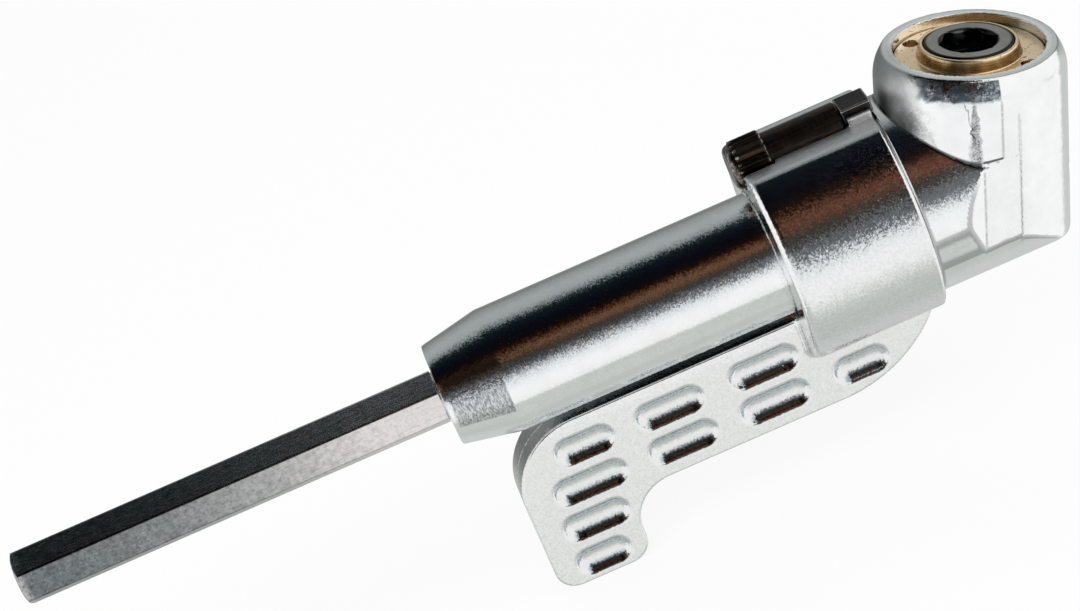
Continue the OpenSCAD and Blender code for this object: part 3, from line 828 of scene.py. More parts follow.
def curvature(shape: Field, points: Array, reach: float = 0.12) -> Array:
    """Sum of the curvatures at each point: the six values round it less six times its own, over the reach squared."""
    ahead, behind = around(shape, points, reach)
    return ((ahead + behind).sum(-1) - 6.0 * shape(*points.T)) / reach ** 2


def net_surface(shape: Field, low: Sequence[float], high: Sequence[float], step: float) -> Surface:
    """Nets the zero surface of a field, then draws the net tight on to it.

    Each cell of a cubic lattice that the surface crosses holds one point, the mean
    of the crossings on the cell's edges. Each lattice edge that crosses it carries
    one quad between its four cells. The points then move down the field's slope.

    Args:
        shape: the field, negative inside the solid.
        low: the lattice's lowest corner, outside the solid.
        high: its highest corner, outside the solid.
        step: the lattice's step.

    Returns:
        The surface, with the field's slope as its normals.
    """
    step = step * 1.0
    lines = [np.arange(a, b + step, step) for a, b in zip(low, high)]
    size = tuple(len(a) for a in lines)
    values = np.broadcast_to(shape(lines[0][:, None, None], lines[1][None, :, None], lines[2][None, None, :]), size)
    filled = values < 0.0
    cells, spots, rings = [], [], []
    for axis in range(3):
        b, c = (axis + 1) % 3, (axis + 2) % 3
        near, far = [slice(None)] * 3, [slice(None)] * 3
        near[axis], far[axis] = slice(None, -1), slice(1, None)
        at = np.stack(np.nonzero(filled[tuple(far)] != filled[tuple(near)]), -1)
        ahead = at + np.eye(3, dtype=int)[axis]
        f0, f1 = values[tuple(at.T)], values[tuple(ahead.T)]
        spot = np.stack([lines[k][at[:, k]] for k in range(3)], -1)
        spot[:, axis] += step * f0 / (f0 - f1)
        ring = []
        for back_b, back_c in ((1, 1), (0, 1), (0, 0), (1, 0)):
            cell = at.copy()
            cell[:, b] -= back_b
            cell[:, c] -= back_c
            ring.append(np.ravel_multi_index(tuple(cell.T), size))
            spots.append(spot)
        cells.extend(ring)
        ring = np.stack(ring, -1)
        ring[f0 >= 0.0] = ring[f0 >= 0.0][:, ::-1]
        rings.append(ring)
    names, place = np.unique(np.concatenate(cells), return_inverse=True)
    spots = np.concatenate(spots)
    count = np.bincount(place)
    points = np.stack([np.bincount(place, spots[:, k]) / count for k in range(3)], -1)
    quads = np.searchsorted(names, np.concatenate(rings))
    for _ in range(3):
        slope = gradient(shape, points)
        steep = np.maximum((slope ** 2).sum(-1, keepdims=True), 0.05)
        points = points + np.clip(-slope * shape(*points.T)[:, None] / steep, -0.5 * step, 0.5 * step)
    slope = gradient(shape, points)
    normals = slope / np.maximum(np.linalg.norm(slope, axis=-1, keepdims=True), 1e-9)
    bend = np.clip(curvature(shape, points) * 0.25, -1.0, 1.0)
    return Surface(points, quads, normals=normals, marks={"bend": bend})


def ring_surface(rows: Array, closed: bool) -> Surface:
    """Skins rows of points, each of which runs round once, anticlockwise seen from +X.

    Args:
        rows: an array of rows, points and coordinates, whose rows go towards +X on
            the outside.
        closed: joins the last row to the first. Otherwise each end row is closed by
            a fan of triangles to its own middle.

    Returns:
        The surface, with its faces outwards.
    """
    n, m, _ = rows.shape
    row, col = np.meshgrid(np.arange(n if closed else n - 1), np.arange(m), indexing="ij")
    up, right = (row + 1) % n, (col + 1) % m
    quads = np.stack([row * m + col, row * m + right, up * m + right, up * m + col], -1).reshape(-1, 4)
    points = rows.reshape(-1, 3)
    if closed:
        return Surface(points, quads)
    points = np.concatenate([points, rows[:1].mean(1), rows[-1:].mean(1)])
    here, there = np.arange(m), (np.arange(m) + 1) % m
    low = np.stack([there, here, np.full(m, n * m)], -1)
    high = np.stack([(n - 1) * m + here, (n - 1) * m + there, np.full(m, n * m + 1)], -1)
    return Surface(points, quads, np.concatenate([low, high]))


def along_x(x: Array, radius: Array, angle: Array, height: float = 0.0) -> Array:
    """Rows of points round an axis along X: x and radius by row and column, at each column's angle."""
    x, radius, angle = np.broadcast_arrays(x, radius, angle)
    return np.stack([x, radius * np.cos(angle), height + radius * np.sin(angle)], -1)


class Shop:
    """Holds the materials, and turns surfaces into pieces."""

    def __init__(self) -> None:
        """Builds one material for each finish."""
        self.finishes = {finish.name: finish for finish in FINISHES}
        self.materials = {finish.name: finish.material() for finish in FINISHES}

    def piece(self, name: str, surface: Surface, finish: str, body: str, *stands_for: str) -> None:
        """Makes a mesh object at the origin that rides on a body.

        Args:
            name: the piece's name.
            surface: its surface.
            finish: the name of its finish.
            body: the body that it rides on.
            stands_for: the nodes of the model that it stands for.
        """
        mesh = bpy.data.meshes.new(name)
        mesh.vertices.add(len(surface.points))
        mesh.vertices.foreach_set("co", (surface.points * MM).astype(np.float32).ravel())
        corners = np.concatenate([surface.quads.ravel(), surface.triangles.ravel()]).astype(np.int32)
        starts = np.concatenate([
            np.arange(len(surface.quads)) * 4,
            len(surface.quads) * 4 + np.arange(len(surface.triangles)) * 3]).astype(np.int32)
        mesh.loops.add(len(corners))
        mesh.loops.foreach_set("vertex_index", corners)
        mesh.polygons.add(len(starts))
        mesh.polygons.foreach_set("loop_start", starts)
        mesh.update(calc_edges=True)
        mesh.shade_smooth()
        for mark, values in surface.marks.items():
            mesh.attributes.new(mark, "FLOAT", "POINT").data.foreach_set("value", values.astype(np.float32))
        if surface.normals is None:
            mesh.set_sharp_from_angle(angle=math.radians(24.0))
        else:
            mesh.normals_split_custom_set_from_vertices(surface.normals.astype(np.float32))
        mesh.materials.append(self.materials[finish])
        made = bpy.data.objects.new(name, mesh)
        bpy.context.scene.collection.objects.link(made)
        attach(made, body)
        if stands_for:
            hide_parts(*stands_for)
        LOG.info("%s: %d points, %d triangles", name, len(surface.points),
                 2 * len(surface.quads) + len(surface.triangles))

    def dress(self, finish: str, *nodes: str) -> None:
        """Gives nodes of the model a finish.

        Args:
            finish: the name of the finish.
            nodes: the nodes' names.
        """
        for name in nodes:
            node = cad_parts[name]
            node.data.materials.clear()
            node.data.materials.append(self.materials[finish])
            LOG.info("%s: dressed in %s", name, finish)


# Sub-assemblies. Sizes are in millimetres, and a lattice has its lowest corner, its highest corner and its step


@dataclass
class CastBody:
    """The plated casting: nose, tube, neck and head."""

    nose_r: float = 6.5
    nose_edge: float = 0.3
    nose_bevel: tuple[float, float] = (0.08, 0.09)
    nose_len: float = 7.6
    tube_r: float = 7.93
    tube_end: float = 62.0
    tube_fillet: float = 0.35
    bore_r: float = 5.2
    bore_bevel: float = 0.15
    ring_groove: tuple[float, float, float] = (0.5, 1.52, 5.55)
    split_x: float = 50.0
    neck_x: float = 60.3
    neck_r: float = 12.6
    neck_end_x: float = 80.31
    neck_round: float = 0.4
    neck_end_round: float = 5.0
    head_r: float = 11.54
    flat_y: float = 11.5
    flat_fade: tuple[float, float] = (-4.6, -2.3)
    flat_end: float = 2.2
    rim_h: float = 15.85
    rim_drop: float = 3.5
    rim_arc: float = 6.0
    chamber_x: float = 62.1
    chamber_r: float = 8.54
    head_bore_r: float = 8.725
    head_floor: float = -7.8
    mouth_r: float = 9.075
    nut_seat: float = 8.1
    tail_bore_r: float = 2.3
    tail_floor: float = -11.1
    land_deg: float = 13.35
    land_share: float = 0.98862
    land_round: float = 0.05
    edge: float = 0.12
    mouth_edge: float = 0.1
    seam_width: float = 0.26
    facet_s: tuple[float, float] = (-2.4, -0.4)
    facet_t: float = 5.4
    facet_y: float = 9.5
    lattice: Lattice = ((49.6, -13.0, -13.4), (85.2, 13.0, 18.6), 0.26)

    def land(self, y: Array, z: Array, radius: float) -> Array:
        """Distance past the flat drafted on each side, whose normal points outwards and land_deg down."""
        a = math.radians(self.land_deg)
        return np.abs(y) * math.cos(a) - z * math.sin(a) - self.land_share * radius

    def tube(self) -> Surface:
        """The nose and most of the tube, with its bore.

        The half section runs round the wall, and each of its points is carried once
        round the X axis. On the outside the radius at an angle is the section's own,
        or the distance to the drafted land if that is less.

        Returns:
            The surface.
        """
        x = np.append(np.linspace(self.nose_edge, self.nose_len, 24), np.linspace(self.nose_len, self.split_x, 60)[1:])
        outer = np.stack([x, np.interp(x, (self.nose_edge, self.nose_len), (self.nose_r, self.tube_r))], -1)
        g0, g1, g_r = self.ring_groove
        bevel_x, bevel_r = self.nose_bevel
        path = np.concatenate([
            [(0.0, self.nose_r - self.nose_edge), (bevel_x, self.nose_r - bevel_r)], outer,
            [(self.split_x, self.bore_r), (g1, self.bore_r), (g1, g_r), (g0, g_r), (g0, self.bore_r),
             (self.bore_bevel, self.bore_r), (0.0, self.bore_r + self.bore_bevel)]])
        angle = np.linspace(0.0, 2.0 * math.pi, 240, endpoint=False)[None, :]
        radius = np.repeat(path[:, 1:], angle.shape[1], 1)
        facing = np.maximum(self.land(np.cos(angle), np.sin(angle), 0.0), 0.1)
        on_tube = slice(2, 2 + len(outer))
        radius[on_tube] = np.minimum(radius[on_tube], self.land_share * radius[on_tube] / facing)
        return ring_surface(along_x(path[:, :1], radius, angle), closed=True)

    def shells(self, x: Array, y: Array, z: Array) -> tuple[Array, Array]:
        """Works out the neck and the barrel.

        The neck is a round bar along X whose ends are rounded, held within the head's
        outline seen along the output axis. The barrel is a round bar along that axis
        whose side draws in on an arc to the rim.

        Args:
            x, y, z: coordinates.

        Returns:
            The fields of the two.
        """
        s, t = AXES.local(x, z)
        across = np.hypot(s, y)
        neck = round_both(np.hypot(y, z) - self.neck_r, x - self.neck_end_x, self.neck_end_round)
        neck = round_both(neck, self.land(y, z, self.neck_r), self.land_round)
        neck = round_both(neck, self.neck_x - x, self.neck_round)
        fade, start = self.flat_fade
        slope = (self.neck_r - self.flat_y) / (start - fade)
        width = self.flat_y + slope * np.maximum(start - s, 0.0)
        past = (np.abs(y) - width) / np.where(s < start, math.hypot(1.0, slope), 1.0)
        neck = round_both(neck, either(across - self.head_r, inside(past, s - self.flat_end)), self.edge)
        arc = np.hypot(across - (self.head_r - self.rim_arc), np.maximum(t - (self.rim_h - self.rim_drop), 0.0))
        barrel = round_both(arc - self.rim_arc, t - self.rim_h, self.edge)
        return neck, inside(barrel, -t, self.neck_x - x)

    def head(self, x: Array, y: Array, z: Array) -> Array:
        """Joins the end of the tube to the neck and the barrel, and cuts their cavity.

        Args:
            x, y, z: coordinates.

        Returns:
            The field.
        """
        s, t = AXES.local(x, z)
        along, across = np.hypot(y, z), np.hypot(s, y)
        tube = inside(along - self.tube_r, self.land(y, z, self.tube_r), slab(x, self.split_x, self.tube_end))
        body = fillet_union(either(*self.shells(x, y, z)), tube, self.tube_fillet)
        body = cut(body, inside(across - self.mouth_r, self.nut_seat - t), self.mouth_edge)
        bore = inside(along - self.bore_r, x - self.chamber_x - 1.0)
        chamber = inside(along - self.chamber_r, slab(x, self.chamber_x, AXES.middle_x))
        head_bore = inside(across - self.head_bore_r, self.head_floor - t)
        tail = inside(across - self.tail_bore_r, self.tail_floor - t)
        return inside(body, -either(bore, chamber, head_bore, tail))

    def build(self, shop: Shop) -> None:
        """Makes the two pieces of the casting. The head's mark bend is kept out of the
        hollows beside the facets, and lowered along the seam of neck and barrel, where the finish paints shade.

        Args:
            shop: what makes pieces.
        """
        shop.piece("cast_tube", self.tube(), "plated_tube", "housing")
        head = net_surface(self.head, *self.lattice)
        x, y, z = head.points.T
        s, t = AXES.local(x, z)
        low, high = self.facet_s
        beside = (s > high) | ((s > low) & (t < self.facet_t))
        bend = head.marks["bend"]
        bend = np.where(beside & (np.abs(y) > self.facet_y), np.maximum(bend, 0.0), bend)
        # weight of the painted shade along the seam of neck and barrel, none beside the facets
        painted_crease_shade = np.where(beside, 0.0, np.exp(-(np.hypot(*self.shells(x, y, z)) / self.seam_width) ** 2))
        head.marks["bend"] = np.where(painted_crease_shade > 0.1, np.minimum(bend, 0.1 - 1.1 * painted_crease_shade), bend)
        shop.piece("cast_head", head, "plated_head", "housing", "housing")


@dataclass
class FingerHandle:
    """The clamp collar and its finger plate.

    A row of recesses has its height, and each of them its middle as a share of the
    plate's length, and its length as a share of its own width.
    """

    collar: tuple[float, float] = (43.15, 60.15)
    collar_r: float = 14.19
    collar_rounds: tuple[float, float] = (1.15, 0.45)
    flat_z: float = 12.9
    bore_r: float = 7.99
    pocket_r: float = 8.66
    pocket_len: float = 2.18
    screw_z: float = 12.65
    room_r: float = 3.43
    room_end: float = 47.3
    bed_r: float = 2.63
    jaw_x: float = 56.75
    slot_y: float = 1.98
    slot_z: float = 11.2
    ear_x: float = 57.1
    ear_y: float = 2.78
    ear_z: float = 13.9
    ear_depth: float = 0.6
    bore_edge: float = 0.12
    plate_y: float = 3.0
    plate_x: float = 3.7
    plate_z: tuple[float, float] = (-21.9, -8.6)
    plate_edge: float = 0.3
    plate_corner: float = 9.5
    hook_x: float = 16.1
    hook_z: float = -31.5
    hook_inner: float = 5.5
    hook_corner: float = 2.8
    arc: tuple[float, float, float] = (45.2, -4.4, 17.5)
    web_fillet: float = 0.9
    edge: float = 0.1
    trough_w: float = 3.9
    trough_depth: float = 1.0
    ball_share: float = 1.01
    lip: float = 0.2
    lattice: Lattice = ((3.0, -15.0, -32.2), (61.0, 15.0, 14.8), 0.28)
    rows: tuple[tuple[float, tuple[tuple[float, float], ...]], ...] = (
        (-12.8, ((0.172, 2.0), (0.373, 2.3), (0.594, 2.35))),
        (-18.1, ((0.153, 2.5), (0.373, 2.35), (0.591, 2.35), (0.796, 1.85))),
        (-23.4, ((0.132, 2.25),)), (-28.7, ((0.116, 1.85),)))

    def outline(self, x: Array, z: Array) -> Array:
        """Works out the plate's outline seen from the side.

        It joins the long bar, whose right end is an arc, to the hook below its left
        end with a round inner corner, and cuts both off at the left with round corners.

        Args:
            x, z: coordinates.

        Returns:
            The field.
        """
        arc_x, arc_z, arc_r = self.arc
        low, top = self.plate_z
        under = np.where(x < arc_x, low - z, np.hypot(x - arc_x, z - arc_z) - arc_r)
        hook = inside(round_both(x - self.hook_x, self.hook_z - z, self.hook_corner), z - low - 4.0)
        both = fillet_union(inside(z - top, under), hook, self.hook_inner)
        left = self.plate_x - x
        corners = (round_both(z - top, left, self.plate_corner), round_both(self.hook_z - z, left, self.hook_corner))
        return inside(both, *corners)

    def troughs(self, x: Array, side: Array, z: Array) -> Array:
        """Works out all the grip recesses: each is a level bar with ball ends, sunk
        into the face so that a shallow trough is left.

        Args:
            x, z: coordinates.
            side: distance from the plate's middle.

        Returns:
            The field.
        """
        half_w = self.trough_w / 2.0
        radius = (half_w ** 2 + self.trough_depth ** 2) / (2.0 * self.trough_depth)
        deep = side - (self.plate_y + radius - self.trough_depth)
        length = self.collar[1] - self.plate_x
        found = np.inf
        for row_z, places in self.rows:
            off = np.hypot(deep, z - row_z)
            for middle, share in places:
                along = np.abs(x - self.plate_x - length * middle) - (share - 1.0) * half_w
                found = either(found, inside(off - radius, along), np.hypot(off, along) - radius * self.ball_share)
        return found

    def handle(self, x: Array, y: Array, z: Array) -> Array:
        """Joins the plate with its recesses to the collar with a fillet, and cuts them
        by the flat, the screw's bed and room, the jaw's slot and the bore.

        Args:
            x, y, z: coordinates.

        Returns:
            The field.
        """
        left, right = self.collar
        side, along = np.abs(y), np.hypot(y, z)
        plate = round_both(self.outline(x, z), side - self.plate_y, self.plate_edge)
        plate = cut(plate, self.troughs(x, side, z), self.lip)
        collar = round_both(along - self.collar_r, left - x, self.collar_rounds[0])
        body = fillet_union(plate, collar, self.web_fillet)
        body = round_both(body, x - right, self.collar_rounds[1])
        body = round_both(body, z - self.flat_z, 2.0 * self.edge)
        over = np.hypot(y, z - self.screw_z)
        body = cut(body, inside(over - self.room_r, x - self.room_end), 1.5 * self.edge)
        body = cut(body, inside(over - self.bed_r, x - self.jaw_x), self.edge)
        body = cut(body, inside(side - self.slot_y, self.slot_z - z, self.jaw_x - 0.3 - x), self.edge)
        ear = round_both(slab(side, self.slot_y, self.ear_y), z - self.ear_z, 1.5 * self.edge)
        ear = round_both(ear, slab(x, self.ear_x, right), 1.5 * self.edge)
        body = either(body, inside(ear, self.flat_z - self.ear_depth - z))
        bore = either(along - self.bore_r, inside(along - self.pocket_r, x - left - self.pocket_len))
        return cut(body, inside(bore, left - 3.0 - x), self.bore_edge)

    def build(self, shop: Shop) -> None:
        """Makes the handle, and marks the plate's rim and the lower walls of its recesses, where its finish paints
        shade.

        Args:
            shop: what makes pieces.
        """
        skin = net_surface(self.handle, *self.lattice)
        x, y, z = skin.points.T
        edge = self.outline(x, z)
        depth = self.plate_y - np.abs(y)
        below = z < self.plate_z[1] + 0.3
        # the rim mark carries the handle's painted shade round the plate's rim, and its parting line
        skin.marks["rim"] = rise(edge, -0.30, -0.15) * rise(depth, 0.12, 0.24) * below
        upward = rise(skin.normals[:, 2], 0.40, 0.52) * (1.0 - rise(np.abs(skin.normals[:, 0]), 0.25, 0.40))
        # the wall mark says where the handle's finish paints shade on the recesses' lower walls
        skin.marks["wall"] = upward * rise(depth, 0.15, 0.25) * (edge < -0.6) * below
        shop.piece("finger_handle_skin", skin, "plated_handle", "handle", "finger_handle")


@dataclass
class ClampScrew:
    """The knurled clamp screw and the jaw that it drives."""

    axis_z: float = 12.65
    knob: tuple[float, float] = (42.2, 47.0)
    knob_r: float = 3.13
    ridges: int = 20
    ridge_depth: float = 0.28
    rim_round: float = 0.9
    barrel_r: float = 2.55
    barrel_end: float = 56.6
    pitch: float = 0.7
    thread_depth: float = 0.006
    tip_r: float = 1.2
    tip_len: float = 2.2
    jaw_x: tuple[float, float, float] = (56.75, 59.695, 60.6)
    jaw_y: float = 1.9
    jaw_z: tuple[float, float, float] = (11.5, 12.98, 14.8)
    jaw_edge: float = 0.2
    lattice: Lattice = ((56.4, -2.2, 11.2), (61.0, 2.2, 15.1), 0.1)

    def screw(self) -> Surface:
        """The screw: its half section carried round its axis.

        On the knob the radius falls between ridges with a power of the folded cosine
        of the angle. On the barrel it falls with the distance from a helix of one
        pitch. The mark bend shows where the ridges are worn: at the knob's two ends.

        Returns:
            The surface.
        """
        x0, x1 = self.knob
        first, end, tip = x0 + self.rim_round, self.barrel_end, self.barrel_end + self.tip_len
        turn = np.linspace(math.pi / 2.0, 0.0, 10)
        r_in = self.knob_r - self.ridge_depth
        path = [(first - self.rim_round * math.sin(b), r_in - self.rim_round * (1 - math.cos(b))) for b in turn]
        path += [(first + 0.02, self.knob_r - 0.1), (first + 0.14, self.knob_r)]
        path += [(x, self.knob_r) for x in np.linspace(first + 0.3, x1 - 0.2, 14)]
        path += [(x1 - 0.06, self.knob_r - 0.06), (x1, self.knob_r - 0.2), (x1, self.barrel_r + 0.15)]
        path += [(x, self.barrel_r) for x in np.linspace(x1 + 0.05, end - 0.15, 150)]
        path += [(end, self.barrel_r - 0.2), (end, self.tip_r), (tip - 0.15, self.tip_r), (tip, self.tip_r - 0.15)]
        path = np.array(path)
        x, radius = path[:, :1], path[:, 1:]
        angle = np.linspace(0.0, 2.0 * math.pi, self.ridges * 12, endpoint=False)[None, :]
        crest = 1.0 - np.abs(np.cos(angle * self.ridges / 2.0)) ** 1.4
        on_knob = (x > first) & (x < x1) & (radius > r_in)
        helix = np.abs(((x / self.pitch - angle / (2.0 * math.pi)) % 1.0) - 0.5) * 2.0
        on_barrel = (x > x1 + 0.3) & (x < end - 0.3)
        radius = radius - on_knob * (1.0 - crest) * self.ridge_depth - on_barrel * helix ** 2 * self.thread_depth
        made = ring_surface(along_x(x, radius, angle, self.axis_z), closed=False)
        worn = np.exp(-((x - first - 0.25) / 0.3) ** 2) * crest * 1.1 + np.exp(-((x - x1 + 0.03) / 0.1) ** 2)
        worn = np.where(x < first, 0.62, worn) * (x < x1 + 0.02)
        made.marks["bend"] = np.append(np.broadcast_to(worn, radius.shape).ravel(), (0.0, 0.0))
        return made

    def jaw(self, x: Array, y: Array, z: Array) -> Array:
        """Works out the jaw: a block with round edges, whose top reaches further over
        the shoulder than its foot, with a hole for the screw's tip.

        Args:
            x, y, z: coordinates.

        Returns:
            The field.
        """
        x0, x1, x2 = self.jaw_x
        z0, z1, z2 = self.jaw_z
        side = np.abs(y) - self.jaw_y
        foot, top = (round_both(round_both(slab(x, x0, far), side, self.jaw_edge), slab(z, low, z2), self.jaw_edge)
                     for far, low in ((x1, z0), (x2, z1)))
        hole = inside(np.hypot(y, z - self.axis_z) - self.tip_r - 0.04, x - x0 - self.tip_len - 0.5)
        return cut(either(foot, top), hole, 0.05)

    def build(self, shop: Shop) -> None:
        """Makes the screw and the jaw.

        Args:
            shop: what makes pieces.
        """
        shop.piece("clamp_screw", self.screw(), "screw_oxide", "lock_screw", "lock_screw")
        jaw = net_surface(self.jaw, *self.lattice)
        shop.piece("clamp_jaw", jaw, "black_oxide", "lock_jaw", "lock_jaw")


@dataclass
class InputSpindle:
    """The hexagonal shank and the journal that carries the input gear."""

    across_flats: float = 6.35
    corner_round: float = 0.063
    start: float = -55.5
    hex_end: float = -0.3
    roll_deg: float = 113.5
    chamfer: tuple[float, float] = (0.7, 0.35)
    journal_r: float = 3.1
    journal_end: float = 62.5
    seat_flats: float = 5.0
    seat_round: float = 0.1
    seat_end: float = 66.7

    @staticmethod
    def hexagon(flats: float, angle: Array, corner: float) -> Array:
        """Works out the radius of a hexagon at each angle: half its width over the
        cosine of the angle from the nearest flat's middle, held to a circle at the corners.

        Args:
            flats: width across the flats.
            angle: the angles.
            corner: how much the circle takes off the corners.

        Returns:
            The radii.
        """
        off = (angle + math.pi / 6.0) % (math.pi / 3.0) - math.pi / 6.0
        return np.minimum(flats / 2.0 / np.cos(off), flats / 2.0 / math.cos(math.pi / 6.0) - corner)

    def shaft(self) -> Surface:
        """The shaft: sections along X, each a hexagon or a circle, with the tapered end.

        Returns:
            The surface.
        """
        drop, length = self.chamfer
        cone_end = self.start + length * 1.6
        angle = np.linspace(0.0, 2.0 * math.pi, 360, endpoint=False)[None, :]
        bar = self.hexagon(self.across_flats, angle - math.radians(self.roll_deg), self.corner_round)
        x = np.append(np.linspace(self.start, cone_end, 14), np.linspace(cone_end, self.hex_end, 60)[1:])[:, None]
        far = self.across_flats / 2.0 / math.cos(math.pi / 6.0)
        cone = far - drop + (x - self.start) * (drop / length)
        seat = self.hexagon(self.seat_flats, angle, self.seat_round)
        rows = [along_x(x, np.minimum(bar, cone), angle)]
        middle, end = self.journal_end, self.seat_end
        for x0, x1, radius in ((self.hex_end, middle, self.journal_r), (middle, end, seat)):
            rows.append(along_x(np.array([[x0], [x1]]), radius, angle))
        return ring_surface(np.concatenate(rows), closed=False)

    def build(self, shop: Shop) -> None:
        """Makes the shaft."""
        shop.piece("shank_and_journal", self.shaft(), "shank_steel", "input_spindle", "drive_shaft")


@dataclass
class BearingNut:
    """The brass nut that holds the output spindle."""

    flange_r: float = 9.055
    foot: float = 8.1
    flange_top: float = 14.65
    flange_round: float = 0.3
    hub_r: tuple[float, float] = (6.3, 5.9)
    hub_top: float = 16.25
    hub_round: float = 0.18
    hub_fillet: float = 0.12
    bore_r: float = 5.48
    hole_circle: float = 7.8
    hole_r: float = 0.95
    hole_depth: float = 2.0
    hole_turn_deg: float = -45.0
    edge: float = 0.1
    lattice: Lattice = ((-9.5, -9.5, 7.8), (9.5, 9.5, 16.6), 0.14)

    def nut(self, s: Array, y: Array, t: Array) -> Array:
        """Works out the nut: a flange and a tapered hub with round edges, cut by the
        bore and by the two spanner holes.

        Args:
            s, y, t: coordinates in the head's frame.

        Returns:
            The field.
        """
        across = np.hypot(s, y)
        flange = round_both(across - self.flange_r, slab(t, self.foot, self.flange_top), self.flange_round)
        low, high = self.hub_r
        side = across - low + (low - high) * (t - self.flange_top) / (self.hub_top - self.flange_top)
        hub = round_both(side, slab(t, self.foot + 1.0, self.hub_top), self.hub_round)
        nut = cut(fillet_union(flange, hub, self.hub_fillet), across - self.bore_r, self.edge)
        a = math.radians(self.hole_turn_deg)
        u, v = s * math.cos(a) + y * math.sin(a), y * math.cos(a) - s * math.sin(a)
        hole = np.hypot(np.abs(u) - self.hole_circle, v) - self.hole_r
        return cut(nut, inside(hole, self.flange_top - self.hole_depth - t), self.edge)

    def build(self, shop: Shop) -> None:
        """Makes the nut."""
        nut = net_surface(self.nut, *self.lattice)
        shop.piece("bearing_nut_turned", nut.on_head(), "turned_brass", "housing", "bearing_nut")


@dataclass
class OutputSpindle:
    """The bit socket with its gear seat and tail."""

    radius: float = 5.4
    foot: float = 7.6
    top: float = 16.35
    top_round: float = 0.4
    hex_flats: float = 6.45
    hex_floor: float = 9.35
    mouth_chamfer: float = 0.35
    mouth_round: float = 0.08
    magnet_r: float = 2.62
    magnet_floor: float = 7.35
    groove_t: tuple[float, float] = (13.75, 14.49)
    groove_r: float = 4.07
    seat_flats: float = 6.4
    seat_foot: float = 5.3
    seat_turn_deg: float = 11.25
    tail_r: float = 1.5
    tail_foot: float = -10.36
    tail_round: float = 0.15
    lattice: Lattice = ((-5.8, -5.8, -10.8), (5.8, 5.8, 16.7), 0.13)

    @staticmethod
    def hexagon(s: Array, y: Array, flats: float, turn_deg: float = 0.0) -> Array:
        """The largest distance past a hexagon's three pairs of flats."""
        ways = [math.radians(turn_deg + way) for way in (30.0, 90.0, 150.0)]
        return inside(*(np.abs(s * math.cos(a) + y * math.sin(a)) - flats / 2.0 for a in ways))

    def socket(self, s: Array, y: Array, t: Array) -> Array:
        """Works out the spindle: barrel, hexagonal seat and tail, cut by the hexagonal
        recess, its chamfer, the ring groove and the magnet's bore.

        Args:
            s, y, t: coordinates in the head's frame.

        Returns:
            The field.
        """
        across = np.hypot(s, y)
        barrel = inside(round_both(across - self.radius, t - self.top, self.top_round), self.foot - t)
        seat = inside(self.hexagon(s, y, self.seat_flats, self.seat_turn_deg), slab(t, self.seat_foot, self.foot + 0.5))
        tail = round_both(across - self.tail_r, slab(t, self.tail_foot, self.seat_foot + 0.5), self.tail_round)
        recess = inside(self.hexagon(s, y, self.hex_flats), self.hex_floor - t)
        body = cut(either(barrel, seat, tail), recess, self.mouth_round)
        body = cut(body, across - self.hex_flats / 2.0 - (t - self.top + self.mouth_chamfer), self.mouth_round)
        groove = inside(across - self.groove_r, slab(t, *self.groove_t))
        return inside(body, -either(groove, inside(across - self.magnet_r, self.magnet_floor - t)))

    def build(self, shop: Shop) -> None:
        """Makes the spindle."""
        socket = net_surface(self.socket, *self.lattice)
        shop.piece("bit_socket_turned", socket.on_head(), "socket_oxide", "output_spindle", "bit_socket")


@dataclass
class InnerParts:
    """The nodes that keep the model's own meshes, by finish."""

    nodes: dict[str, tuple[str, ...]] = field(default_factory=lambda: {
        "sintered_bronze": ("nose_bush", "inner_bush", "tail_bush"),
        "gear_steel": ("input_gear", "output_gear"),
        "washer_steel": ("input_washer", "output_washer", "thrust_pad", "friction_washer"),
        "spring_steel": ("nose_ring", "collar_ring", "gear_clip", "bit_ring"),
        "black_oxide": ("gear_screw",),
        "magnet_nickel": ("bit_magnet",)})

    def build(self, shop: Shop) -> None:
        """Dresses them."""
        for finish, names in self.nodes.items():
            shop.dress(finish, *names)


# Studio


def set_up(name: str, points: Array, faces: Array, material: bpy.types.Material) -> bpy.types.Object:
    """Makes a mesh object that belongs to the stage.

    Args:
        name: its name.
        points: its points, in metres.
        faces: its faces.
        material: its material.

    Returns:
        The object.
    """
    mesh = bpy.data.meshes.new(name)
    mesh.from_pydata(points.tolist(), [], faces.tolist())
    mesh.materials.append(material)
    made = bpy.data.objects.new(name, mesh)
    bpy.context.scene.collection.objects.link(made)
    return made


